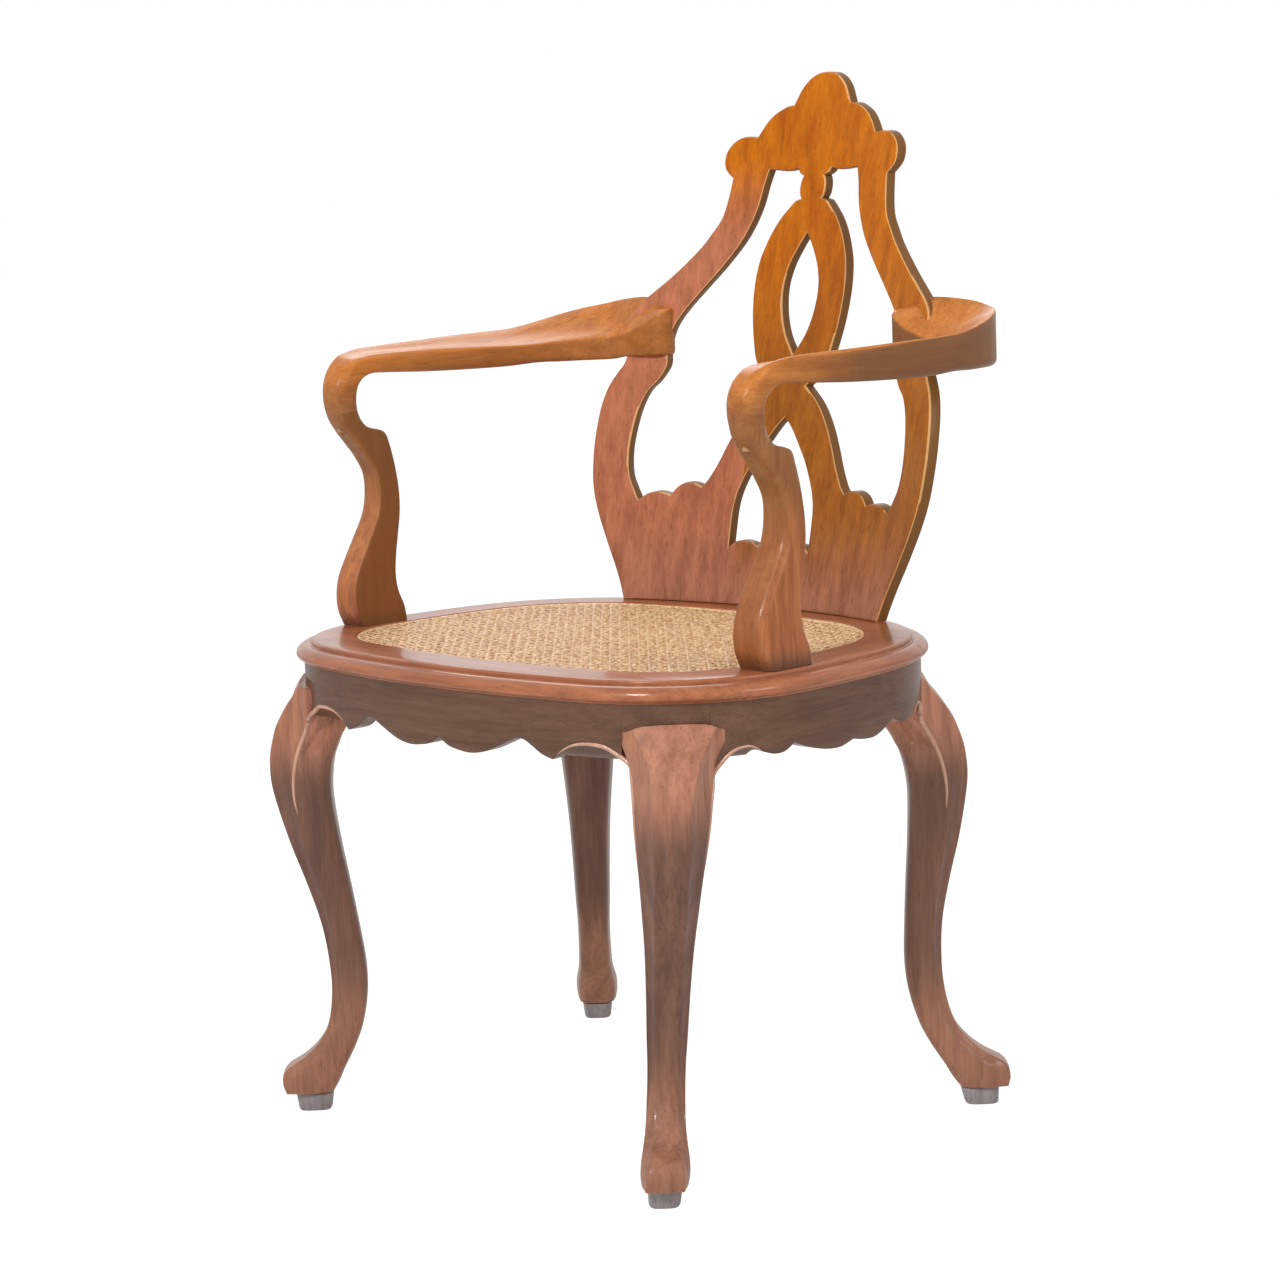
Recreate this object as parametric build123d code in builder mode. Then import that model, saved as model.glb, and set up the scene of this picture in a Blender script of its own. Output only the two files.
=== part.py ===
from build123d import *
from math import radians, sqrt, tan
import os

# Cane-seated armchair with cabriole legs, a moulded seat frame and a pierced, curved back.
# Millimetres. The sitter faces -Y, the sitter's left is +X and the floor is Z = 0.

os.makedirs("parts", exist_ok=True)

# Seat frame seen from above: four bows with rounded corners between them
seat_height = 455
seat_width = 577
seat_depth = 439
seat_centre_y = -49.6
front_bow = 940
rear_bow = 797
side_bow = 780
side_bow_forward = 69
front_corner = 144
rear_corner = 178

# Section of the seat rails, outward from the ridge round the flat top
rail_thickness = 20
ridge_bevel = 2
nose_reach = 15
nose_drop = 5
nose_top_round = 7
nose_bottom_bevel = 4
nose_foot_height = 2
front_joint_inset = 93.5
rear_joint_inset = 107.5
rail_dowel_diameter = 8
rail_dowel_length = 40

# Woven cane sheet, the ledge it lies on and the reed that holds it
cane_margin = 43
cane_ledge = 12
cane_thickness = 2
cane_drop = 1
spline_width = 4
spline_height = 4
cane_columns = 12
cane_rows = 8
cane_opening = 22

# Aprons under the rails, and the dowels between the two
apron_reach = 8
apron_thickness = 20
apron_height = 57
tenon_length = 16
tenon_thickness = 8
tenon_height = 26
tenon_drop = 6
seat_dowel_diameter = 8
seat_dowel_length = 24
seat_dowel_offset = 55

# Legs
front_foot_side_inset = 53.5
front_foot_inset = 21
rear_foot_side_inset = 29.5
rear_foot_inset = 12.7
block_width = 92
block_depth = 60
block_height = 44
block_setback = 9
knee_drop = 17
knee_width = 80
front_leg_lean = 24
rear_leg_splay = 46
pad_height = 16
pad_width = 30
pad_depth = 34
pad_taper = 4
pad_round = 8

# Corner blocks and their screws
corner_block_width = 230
corner_block_depth = 28
corner_block_height = 30
screw_diameter = 4
screw_head_diameter = 8
screw_head_height = 3
block_screw_length = 50

# Arm posts
post_inset = 21.5
post_forward = 68
post_width = 33
post_depth = 57
post_height = 209
post_tenon_width = 16
post_tenon_depth = 30
post_tenon_length = 12
post_screw_length = 45

# Arms
arm_reach = 33
arm_wrap = 16.4
arm_overhang = 45.5
arm_height = 87
arm_fall_share = 0.2
arm_tip_share = 0.68
arm_dowel_diameter = 10
arm_dowel_length = 40
back_joint_share = 0.758
back_joint_height = 264
back_joint_diameter = 8
back_joint_depth = 8
back_joint_length = 20

# Back
back_height = 519
back_half_width = 219
back_inset = 15.7
back_rake = 12.78
back_curve = 553
board_thickness = 12
seam_x = 44
back_tenon_length = 12
back_tenon_thickness = 5
back_tenon_setback = 1.5
back_tenon_width = 50
back_tenon_x = 110
back_dowel_diameter = 6
back_dowel_length = 36
crest_dowel_height = 450
base_dowel_height = 25

overrun = 5

rail_bottom = seat_height - rail_thickness
ledge_height = seat_height - cane_drop - cane_thickness
groove_reach = cane_margin + spline_width
rail_inner_reach = groove_reach + cane_ledge
apron_inner_reach = apron_reach - apron_thickness
apron_bottom = rail_bottom - apron_height
apron_middle_reach = apron_reach - apron_thickness / 2
block_bottom = rail_bottom - block_height
front_foot_x = seat_width / 2 - front_foot_side_inset
front_foot_y = seat_depth / 2 - front_foot_inset
rear_foot_x = seat_width / 2 - rear_foot_side_inset
rear_foot_y = seat_depth / 2 - rear_foot_inset
knee_top = rail_bottom - knee_drop
far = 2 * (seat_width + seat_depth)
post_centre_x = seat_width / 2 - post_inset
post_y = seat_centre_y - post_forward
post_top = seat_height + post_height
arm_outer_x = post_centre_x + arm_reach
arm_tip_x = arm_tip_share * back_half_width
arm_front_y = post_y - arm_overhang
back_y = seat_centre_y + seat_depth / 2 - back_inset


# Seat outline and the solids cut from it
def seat_plan(growth):
    """Outline of the ridge round the seat's flat top, moved outward by growth."""
    side_y = seat_centre_y - side_bow_forward
    with BuildSketch() as plan:
        with Locations((0, seat_centre_y + front_bow - seat_depth / 2)):
            Circle(front_bow + growth)
        with Locations((0, seat_centre_y + seat_depth / 2 - rear_bow)):
            Circle(rear_bow + growth, mode=Mode.INTERSECT)
        with Locations((seat_width / 2 - side_bow, side_y)):
            Circle(side_bow + growth, mode=Mode.INTERSECT)
        with Locations((side_bow - seat_width / 2, side_y)):
            Circle(side_bow + growth, mode=Mode.INTERSECT)
        fillet(plan.vertices().group_by(Axis.Y)[0], front_corner + growth)
        fillet(plan.vertices().group_by(Axis.Y)[-1], rear_corner + growth)
    return plan.sketch


def seat_slab(growth, bottom, top):
    """Solid over the seat outline between two heights."""
    with BuildPart() as body:
        with BuildSketch(Plane.XY.offset(bottom)):
            add(seat_plan(growth))
        extrude(amount=top - bottom)
    return body.part


def seat_band(outer, inner, bottom, top):
    """Upright band that follows the seat outline."""
    with BuildPart() as body:
        with BuildSketch(Plane.XY.offset(bottom)):
            add(seat_plan(outer))
            add(seat_plan(inner), mode=Mode.SUBTRACT)
        extrude(amount=top - bottom)
    return body.part


def block_between(low, high):
    """Box between two opposite corners, for cutting."""
    with BuildPart() as body:
        with Locations(tuple((a + b) / 2 for a, b in zip(low, high))):
            Box(high[0] - low[0], high[1] - low[1], high[2] - low[2])
    return body.part


def rod(plane, diameter, length):
    """Round rod along a plane's normal, for dowels and their holes."""
    with BuildPart() as body:
        with BuildSketch(plane):
            Circle(diameter / 2)
        extrude(amount=length)
    return body.part


def screw(plane, length):
    """Countersunk screw that starts with its head on a plane and runs along the normal."""
    with BuildPart(plane) as body:
        Cone(screw_head_diameter / 2, screw_diameter / 2, screw_head_height,
             align=(Align.CENTER, Align.CENTER, Align.MIN))
        Cylinder(screw_diameter / 2, length, align=(Align.CENTER, Align.CENTER, Align.MIN))
    return body.part


# Corners of the seat, where the legs stand
class Corner:
    """One leg's place: its foot, its outward direction and its direction across."""

    def __init__(self, name, side, end):
        self.name = name
        foot_x = front_foot_x if end < 0 else rear_foot_x
        foot_y = front_foot_y if end < 0 else rear_foot_y
        self.foot = Vector(side * foot_x, seat_centre_y + end * foot_y, 0)
        self.out = Vector(side, end, 0).normalized()
        self.across = Vector(side, -end, 0).normalized()
        self.lean = front_leg_lean if end < 0 else 0
        self.splay = 0 if end < 0 else rear_leg_splay

    def level(self, height, reach, across=0):
        """Level plane at a height on the leg's leaning axis, its X pointing outward."""
        share = height / rail_bottom
        origin = self.foot + self.out * (reach - self.splay * share)
        origin += self.across * (self.lean * share + across)
        return Plane(origin + Vector(0, 0, height), x_dir=self.out, z_dir=(0, 0, 1))

    def upright(self, height, reach, across=0):
        """Plane facing outward from the top of the leg."""
        origin = self.level(rail_bottom, reach, across).origin
        return Plane(Vector(origin.X, origin.Y, height), x_dir=(0, 0, 1), z_dir=self.out)

    def column(self, reach, depth, width, bottom, top, across=0):
        """Upright box across the corner, its outer face reach from the leg's axis."""
        foot = self.level(rail_bottom, reach - depth / 2, across)
        with BuildPart() as body:
            with BuildSketch(foot.offset(bottom - rail_bottom)):
                Rectangle(depth, width)
            extrude(amount=top - bottom)
        return body.part


corners = [
    Corner("front_left", 1, -1),
    Corner("front_right", -1, -1),
    Corner("rear_left", 1, 1),
    Corner("rear_right", -1, 1),
]

# Back seen from the front, as shares of its half width and its height above the seat.
# Each list is one smooth curve, and the curves meet at the carved notches.
crest_top_shares = [(0, 1), (0.046, 0.998), (0.091, 0.988), (0.128, 0.973), (0.169, 0.94)]
shoulder_shares = [(0.169, 0.94), (0.251, 0.928), (0.32, 0.9), (0.352, 0.882)]
ear_shares = [
    (0.352, 0.882), (0.411, 0.883), (0.457, 0.879), (0.493, 0.867),
    (0.513, 0.844), (0.502, 0.825), (0.461, 0.805),
]
stile_top_shares = [
    (0.461, 0.805), (0.479, 0.751), (0.534, 0.703), (0.612, 0.663),
    (0.721, 0.618), (0.836, 0.578), (0.877, 0.553),
]
stile_side_shares = [
    (0.877, 0.553), (0.888, 0.495), (0.9, 0.453), (0.959, 0.414), (0.991, 0.356),
    (1, 0.299), (0.977, 0.202), (0.918, 0.131), (0.836, 0.06), (0.776, 0),
]
stile_inner_shares = [
    (0.26, 0.819), (0.297, 0.751), (0.374, 0.68), (0.457, 0.636), (0.539, 0.597),
    (0.626, 0.555), (0.676, 0.52), (0.694, 0.482),
]
stile_waist_shares = [
    (0.694, 0.482), (0.689, 0.446), (0.767, 0.399), (0.817, 0.322), (0.822, 0.279),
    (0.804, 0.241), (0.749, 0.193),
]
base_lobe_shares = [[(0.749, 0.193), (0.66, 0.207), (0.589, 0.202)],
                    [(0.589, 0.202), (0.511, 0.225), (0.429, 0.22)]]
lower_strap_shares = [
    (0.429, 0.22), (0.347, 0.264), (0.301, 0.303), (0.251, 0.341), (0.183, 0.38), (0.1, 0.412),
]
upper_strap_shares = [
    (0.1, 0.412), (0.215, 0.457), (0.265, 0.53), (0.279, 0.607), (0.242, 0.674),
    (0.174, 0.726), (0.096, 0.759),
]
neck_bead_shares = [[(0.059, 0.763), (0.091, 0.784), (0.059, 0.805)],
                    [(0.059, 0.805), (0.087, 0.812), (0.1, 0.819)]]
upper_eye_shares = [
    (0, 0.697), (0.05, 0.665), (0.095, 0.628), (0.11, 0.597), (0.1, 0.553), (0.055, 0.507),
    (0, 0.472),
]
lower_eye_shares = [
    (0, 0.353), (0.046, 0.333), (0.1, 0.303), (0.146, 0.276), (0.192, 0.241),
    (0.237, 0.173), (0.237, 0.109),
]
sill_shares = [[(0.237, 0.109), (0.155, 0.121), (0.073, 0.112)],
               [(0.073, 0.112), (0.035, 0.117), (0, 0.119)]]


def on_back(shares):
    """Points of the back's front view."""
    return [(x * back_half_width, z * back_height + seat_height) for x, z in shares]


def back_front_y(x, height):
    """Y of the back's front surface at a distance from the middle and a height on the back."""
    return back_y - back_curve + sqrt(back_curve**2 - x**2) + height * tan(radians(back_rake))


def back_sheet(setback, thickness, bottom, top):
    """Curved, raked sheet that the back boards are cut from."""
    rise = top - bottom
    run = rise * tan(radians(back_rake))
    middle_y = back_front_y(0, bottom - seat_height) - back_curve
    with BuildPart() as sheet:
        with BuildSketch(Plane.XY.offset(bottom)):
            with Locations((0, middle_y)):
                Circle(back_curve + setback + thickness)
                Circle(back_curve + setback, mode=Mode.SUBTRACT)
            with Locations((0, middle_y)):
                Rectangle(2 * arm_outer_x, 2 * back_curve + arm_outer_x, mode=Mode.INTERSECT,
                          align=(Align.CENTER, Align.MIN))
        extrude(amount=sqrt(rise**2 + run**2), dir=(0, run, rise))
    return sheet.part


# Back
with BuildPart() as back_whole:
    with BuildSketch(Plane.XZ):
        with BuildLine():
            Spline(on_back(crest_top_shares))
            Spline(on_back(shoulder_shares))
            Spline(on_back(ear_shares))
            Spline(on_back(stile_top_shares))
            Spline(on_back(stile_side_shares))
            foot_x, foot_z = on_back(stile_side_shares)[-1]
            Polyline((foot_x, foot_z), (0, seat_height), (0, seat_height + back_height))
        make_face()
        with BuildLine():
            Spline(on_back(stile_inner_shares))
            Spline(on_back(stile_waist_shares))
            for lobe in base_lobe_shares:
                ThreePointArc(on_back(lobe))
            Spline(on_back(lower_strap_shares))
            Spline(on_back(upper_strap_shares))
            Line(on_back([upper_strap_shares[-1], neck_bead_shares[0][0]]))
            for bead in neck_bead_shares:
                ThreePointArc(on_back(bead))
            Line(on_back([neck_bead_shares[-1][-1], stile_inner_shares[0]]))
        make_face(mode=Mode.SUBTRACT)
        with BuildLine():
            Spline(on_back(upper_eye_shares))
            Line(on_back([upper_eye_shares[-1], upper_eye_shares[0]]))
        make_face(mode=Mode.SUBTRACT)
        with BuildLine():
            Spline(on_back(lower_eye_shares))
            for lobe in sill_shares:
                ThreePointArc(on_back(lobe))
            Line(on_back([sill_shares[-1][-1], lower_eye_shares[0]]))
        make_face(mode=Mode.SUBTRACT)
        mirror(about=Plane.YZ)
    extrude(amount=-seat_depth)
    sheet_top = seat_height + back_height + overrun
    add(back_sheet(0, board_thickness, seat_height, sheet_top), mode=Mode.INTERSECT)

crest_dowel_y = back_front_y(seam_x, crest_dowel_height) + board_thickness / 2
base_dowel_y = back_front_y(seam_x, base_dowel_height) + board_thickness / 2
back_dowel_places = [
    (side * seam_x, y, seat_height + height)
    for side in (1, -1)
    for y, height in ((crest_dowel_y, crest_dowel_height), (base_dowel_y, base_dowel_height))
]
with BuildPart() as back_dowels:
    for place in back_dowel_places:
        start = Plane(place, z_dir=(1, 0, 0)).offset(-back_dowel_length / 2)
        add(rod(start, back_dowel_diameter, back_dowel_length))
back_dowels.part.label = "back_dowels"
export_step(back_dowels.part, "parts/back_dowels.step")


def back_tenon(x):
    """Tenon under the back boards."""
    low = seat_height - back_tenon_length
    with BuildPart() as body:
        add(back_sheet(back_tenon_setback, back_tenon_thickness, low, seat_height))
        slot = block_between((x - back_tenon_width / 2, 0, low),
                             (x + back_tenon_width / 2, seat_depth, seat_height))
        add(slot, mode=Mode.INTERSECT)
    return body.part


back_joint_x = back_joint_share * back_half_width
arm_seat_y = back_front_y(back_joint_x, back_joint_height)
arm_length = arm_seat_y + arm_wrap - arm_front_y
back_joint_y = arm_seat_y + back_joint_depth
back_joint_plane = Plane((back_joint_x, back_joint_y, seat_height + back_joint_height),
                         z_dir=(0, -1, 0))
back_joint_dowel = rod(back_joint_plane, back_joint_diameter, back_joint_length)
with BuildPart() as back_joint_dowels:
    add(back_joint_dowel)
    mirror(about=Plane.YZ)
back_joint_dowels.part.label = "back_joint_dowels"
export_step(back_joint_dowels.part, "parts/back_joint_dowels.step")

back_strips = {
    "back_left": (seam_x, arm_outer_x, 1),
    "back_right": (-arm_outer_x, -seam_x, -1),
    "back_centre": (-seam_x, seam_x, 0),
}
back_boards = {}
for name, (low_x, high_x, side) in back_strips.items():
    with BuildPart() as strip:
        add(back_whole.part)
        slot = block_between((low_x, 0, 0), (high_x, seat_depth, seat_height + 2 * back_height))
        add(slot, mode=Mode.INTERSECT)
        add(back_dowels.part, mode=Mode.SUBTRACT)
    back_boards[name] = strip.part.solids().sort_by(SortBy.VOLUME)[::-1]

# Left side: a post that springs from the seat and an arm that curls over it
post_lower_shares = [
    (0, -0.5, 0.5, 1), (0.072, -0.62, 0.465, 1.09), (0.167, -0.66, 0.325, 1.06),
    (0.215, -0.605, 0.307, 1.03), (0.311, -0.447, 0.342, 1), (0.407, -0.237, 0.412, 0.94),
    (0.502, -0.026, 0.5, 0.91), (0.598, 0.044, 0.5, 0.88), (0.694, 0.026, 0.46, 0.88),
    (0.789, -0.184, 0.42, 0.88), (0.89, -0.5, 0.37, 0.9),
]
post_upper_shares = [(0.89, -0.5, 0.114, 0.9), (0.94, -0.64, -0.114, 0.92), (1, -0.77, -0.237, 0.91)]


def post_run(rows):
    """Upright run of the arm post, lofted through its level sections."""
    with BuildPart() as body:
        for height, front, rear, width in rows:
            y = post_y + (front + rear) / 2 * post_depth
            with BuildSketch(Plane((post_centre_x, y, seat_height + height * post_height))):
                Rectangle(width * post_width, (rear - front) * post_depth)
        loft()
    return body.part


with BuildPart() as post_tenon:
    with BuildSketch(Plane((post_centre_x, post_y, seat_height))):
        Rectangle(post_tenon_width, post_tenon_depth)
    extrude(amount=-post_tenon_length)

post_front, post_rear = post_upper_shares[-1][1:3]
arm_dowel_y = post_y + (post_front + post_rear) / 2 * post_depth
arm_dowel_plane = Plane((post_centre_x, arm_dowel_y, post_top - arm_dowel_length / 2))
arm_dowel = rod(arm_dowel_plane, arm_dowel_diameter, arm_dowel_length)
post_screw = screw(Plane((post_centre_x, post_y, rail_bottom)), post_screw_length)

with BuildPart() as arm_post_left:
    add(post_run(post_lower_shares))
    add(post_run(post_upper_shares))
    add(post_tenon.part)
    add(arm_dowel, mode=Mode.SUBTRACT)
    add(post_screw, mode=Mode.SUBTRACT)
arm_post_left.part.label = "arm_post_left"
export_step(arm_post_left.part, "parts/arm_post_left.step")

with BuildPart() as arm_post_right:
    mirror(arm_post_left.part, about=Plane.YZ)
arm_post_right.part.label = "arm_post_right"
export_step(arm_post_right.part, "parts/arm_post_right.step")

# Arm from above: shares of the way from its inner tip to its outer edge, and of its length
arm_outer_shares = [
    (0.682, 0.041), (0.709, 0.012), (0.782, 0), (0.854, 0.012), (0.881, 0.041),
    (0.911, 0.12), (0.95, 0.26), (0.983, 0.4), (1, 0.53), (0.98, 0.72), (0.927, 0.83),
    (0.841, 0.93), (0.722, 0.984), (0.57, 1), (0.418, 0.995), (0.305, 0.986),
]
arm_inner_shares = [
    (0.027, 0.984), (0, 0.96), (0.027, 0.935), (0.107, 0.922), (0.206, 0.916), (0.338, 0.913),
    (0.451, 0.889), (0.557, 0.834), (0.649, 0.747), (0.715, 0.611), (0.735, 0.448),
    (0.729, 0.285), (0.692, 0.12), (0.682, 0.041),
]
# Arm from the side: shares of its length and of its height
arm_curl_shares = [
    (0, 0), (-0.002, 0.138), (0.005, 0.3), (0.03, 0.46), (0.065, 0.58), (0.11, 0.68),
    (0.2, 0.8), (0.3, 0.9),
]
arm_underside_shares = [
    (1.02, 0.39), (0.91, 0.38), (0.8, 0.345), (0.64, 0.345), (0.37, 0.368), (0.17, 0.39),
    (0.115, 0.37), (0.092, 0.3), (0.083, 0.16), (0.083, 0),
]
arm_top_shares = [
    (-0.05, 0.68), (0.1, 0.7), (0.23, 0.705), (0.34, 0.7), (0.51, 0.72), (0.72, 0.745),
    (0.856, 0.87), (0.94, 1.05), (1, 1.21), (1.02, 1.25),
]


def on_arm_side(shares):
    """Points of the arm's side view."""
    return [(arm_front_y + y * arm_length, post_top + z * arm_height) for y, z in shares]


def on_arm_plan(shares):
    """Points of the arm's plan."""
    span = arm_outer_x - arm_tip_x
    return [(arm_tip_x + x * span, arm_front_y + y * arm_length) for x, y in shares]


with BuildPart() as arm_left:
    with BuildSketch(Plane.XY.offset(post_top)):
        with BuildLine():
            Spline(on_arm_plan(arm_outer_shares))
            Line(on_arm_plan([arm_outer_shares[-1], arm_inner_shares[0]]))
            Spline(on_arm_plan(arm_inner_shares))
        make_face()
    extrude(amount=2 * arm_height)
    with BuildSketch(Plane.YZ):
        with BuildLine():
            Spline(on_arm_side(arm_curl_shares))
            top_y, top_z = on_arm_side(arm_curl_shares)[-1]
            end_y, end_z = on_arm_side(arm_underside_shares)[0]
            crown_z = post_top + 2 * arm_height
            Polyline((top_y, top_z), (top_y, crown_z), (end_y, crown_z), (end_y, end_z))
            Spline(on_arm_side(arm_underside_shares))
            Line(on_arm_side([arm_underside_shares[-1], arm_curl_shares[0]]))
        make_face()
    extrude(amount=2 * arm_outer_x, mode=Mode.INTERSECT)
    with BuildSketch(Plane.YZ.offset(arm_outer_x)):
        with BuildLine():
            Spline(on_arm_side(arm_top_shares))
            first_y, first_z = on_arm_side(arm_top_shares)[0]
            last_y, last_z = on_arm_side(arm_top_shares)[-1]
            Polyline((last_y, last_z), (last_y, seat_height), (first_y, seat_height),
                     (first_y, first_z))
        make_face()
    extrude(amount=arm_outer_x, dir=(-1, 0, -arm_fall_share), mode=Mode.INTERSECT)
    add(back_boards["back_left"][0], mode=Mode.SUBTRACT)
    add(arm_dowel, mode=Mode.SUBTRACT)
    add(back_joint_dowel, mode=Mode.SUBTRACT)
arm_left.part.label = "arm_left"
export_step(arm_left.part, "parts/arm_left.step")

with BuildPart() as arm_right:
    mirror(arm_left.part, about=Plane.YZ)
arm_right.part.label = "arm_right"
export_step(arm_right.part, "parts/arm_right.step")

# Seat rails: the flat top, the rounded nose below its ridge and the foot on the aprons,
# made as one ring and cut into four at the joints
with BuildPart() as rail_top:
    add(seat_slab(0, rail_bottom, seat_height))
    chamfer(rail_top.edges().group_by(Axis.Z)[-1], ridge_bevel)

with BuildPart() as rail_nose:
    nose_bottom = rail_bottom + nose_foot_height
    add(seat_slab(nose_reach, nose_bottom, seat_height - nose_drop))
    fillet(rail_nose.edges().group_by(Axis.Z)[-1], nose_top_round)
    chamfer(rail_nose.edges().group_by(Axis.Z)[0], nose_bottom_bevel)

spline_top = seat_height - cane_drop
groove_bottom = spline_top - spline_height
with BuildPart() as rail_ring:
    add(rail_top.part)
    add(rail_nose.part)
    add(seat_slab(apron_reach, rail_bottom, seat_height - nose_drop))
    add(seat_slab(-rail_inner_reach, rail_bottom, seat_height), mode=Mode.SUBTRACT)
    add(seat_slab(-groove_reach, ledge_height, seat_height), mode=Mode.SUBTRACT)
    add(seat_band(-cane_margin, -groove_reach, groove_bottom, seat_height), mode=Mode.SUBTRACT)
    for x in (-back_tenon_x, 0, back_tenon_x):
        add(back_tenon(x), mode=Mode.SUBTRACT)



def joint_x(joint_y):
    """Distance from the middle to the heart of the rail where a joint crosses it."""
    with BuildPart() as body:
        add(seat_band(0, -rail_inner_reach, rail_bottom, seat_height))
        add(block_between((0, joint_y, 0), (far, far, far)), mode=Mode.INTERSECT)
    return body.faces().filter_by(Axis.Y).sort_by(Axis.Y)[0].center().X


rail_front_y = seat_centre_y - seat_depth / 2 + front_joint_inset
rail_rear_y = seat_centre_y + seat_depth / 2 - rear_joint_inset
rail_middle = (rail_bottom + groove_bottom) / 2
with BuildPart() as rail_dowels:
    for joint_y in (rail_front_y, rail_rear_y):
        for side in (1, -1):
            start = Plane((side * joint_x(joint_y), joint_y, rail_middle), z_dir=(0, 1, 0))
            add(rod(start.offset(-rail_dowel_length / 2), rail_dowel_diameter, rail_dowel_length))
rail_dowels.part.label = "rail_dowels"
export_step(rail_dowels.part, "parts/rail_dowels.step")

# Dowels that stand in the aprons and hold the rails, one near the middle of each
dowel_front_y = seat_centre_y - seat_depth / 2 - apron_middle_reach
dowel_rear_y = seat_centre_y + seat_depth / 2 + apron_middle_reach
dowel_side_x = seat_width / 2 + apron_middle_reach
dowel_side_y = seat_centre_y - side_bow_forward / 2
apron_dowel_places = [
    (0, dowel_front_y),
    (seat_dowel_offset, dowel_rear_y),
    (dowel_side_x, dowel_side_y),
    (-dowel_side_x, dowel_side_y),
]
with BuildPart() as seat_dowels:
    for x, y in apron_dowel_places:
        start = Plane((x, y, rail_bottom - seat_dowel_length / 2))
        add(rod(start, seat_dowel_diameter, seat_dowel_length))
seat_dowels.part.label = "seat_dowels"
export_step(seat_dowels.part, "parts/seat_dowels.step")

rail_limits = {
    "front": ((-far, -far, 0), (far, rail_front_y, far)),
    "rear": ((-far, rail_rear_y, 0), (far, far, far)),
    "left": ((0, rail_front_y, 0), (far, rail_rear_y, far)),
    "right": ((-far, rail_front_y, 0), (0, rail_rear_y, far)),
}
for name, (low, high) in rail_limits.items():
    with BuildPart() as seat_rail:
        add(rail_ring.part)
        add(block_between(low, high), mode=Mode.INTERSECT)
        add(rail_dowels.part, mode=Mode.SUBTRACT)
        add(seat_dowels.part, mode=Mode.SUBTRACT)
        if name in ("left", "right"):
            side_plane = Plane.YZ if name == "right" else None
            for hole in (post_tenon.part, post_screw):
                if side_plane:
                    mirror(hole, about=side_plane, mode=Mode.SUBTRACT)
                else:
                    add(hole, mode=Mode.SUBTRACT)
    seat_rail.part.label = f"seat_rail_{name}"
    export_step(seat_rail.part, f"parts/seat_rail_{name}.step")

with BuildPart() as post_screws:
    add(post_screw)
    mirror(about=Plane.YZ)
post_screws.part.label = "post_screws"
export_step(post_screws.part, "parts/post_screws.step")

with BuildPart() as arm_dowels:
    add(arm_dowel)
    mirror(about=Plane.YZ)
arm_dowels.part.label = "arm_dowels"
export_step(arm_dowels.part, "parts/arm_dowels.step")

# Cane sheet and the reed pressed into its groove
cane_pitch_x = (seat_width - 2 * rail_inner_reach) / cane_columns
cane_pitch_y = (seat_depth - 2 * rail_inner_reach) / cane_rows
with BuildPart() as cane_openings:
    with BuildSketch(Plane.XY.offset(ledge_height)):
        with Locations((0, seat_centre_y)):
            with GridLocations(cane_pitch_x, cane_pitch_y, cane_columns, cane_rows):
                Rectangle(cane_opening, cane_opening)
    extrude(amount=cane_thickness)
    add(seat_slab(-rail_inner_reach, ledge_height, seat_height), mode=Mode.INTERSECT)

with BuildPart() as cane_panel:
    add(seat_slab(-groove_reach, ledge_height, ledge_height + cane_thickness))
    add(cane_openings.part, mode=Mode.SUBTRACT)
cane_panel.part.label = "cane_panel"
export_step(cane_panel.part, "parts/cane_panel.step")

with BuildPart() as cane_spline:
    add(seat_band(-cane_margin, -groove_reach, groove_bottom, spline_top))
cane_spline.part.label = "cane_spline"
export_step(cane_spline.part, "parts/cane_spline.step")

# Lower edges of the aprons: shares of the distance from the middle to the foot and of the
# apron's height, one arc for each lobe between two cusps
front_lobe_shares = [
    [(0, 0.228), (0.176, 0.035), (0.397, 0.35)],
    [(0.397, 0.35), (0.57, 0.088), (0.69, 0.36)],
    [(0.69, 0.36), (0.77, 0.42), (0.85, 0.228)],
]
side_lobe_shares = [
    [(0, 0.105), (0.19, 0.035), (0.4, 0.245)],
    [(0.4, 0.245), (0.515, 0.13), (0.6, 0.2)],
    [(0.6, 0.2), (0.68, 0.27), (0.8, 0.1)],
]


def apron_profile(plane, lobes, front_span, rear_span):
    """Scalloped front view of an apron, spans measured from the seat's middle."""
    with BuildSketch(plane) as profile:
        for span in (front_span, -rear_span):
            with BuildLine():
                for lobe in lobes:
                    ThreePointArc([(x * span, apron_bottom + z * apron_height) for x, z in lobe])
                end_z = apron_bottom + lobes[-1][-1][1] * apron_height
                start_z = apron_bottom + lobes[0][0][1] * apron_height
                Polyline((lobes[-1][-1][0] * span, end_z), (span, end_z), (span, rail_bottom),
                         (0, rail_bottom), (0, start_z))
            make_face()
    return profile.sketch


def apron_tenon(corner, side):
    """Tenon inside a leg block, side 1 toward the side apron and -1 toward the other."""
    top = rail_bottom - tenon_drop
    middle = (block_width - tenon_length) / 2
    inner = apron_middle_reach - tenon_thickness / 2
    socket = corner.column(0, block_depth, tenon_length, top - tenon_height, top, side * middle)
    with BuildPart() as body:
        add(seat_band(inner + tenon_thickness, inner, top - tenon_height, top))
        add(socket, mode=Mode.INTERSECT)
    return body.part


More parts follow.
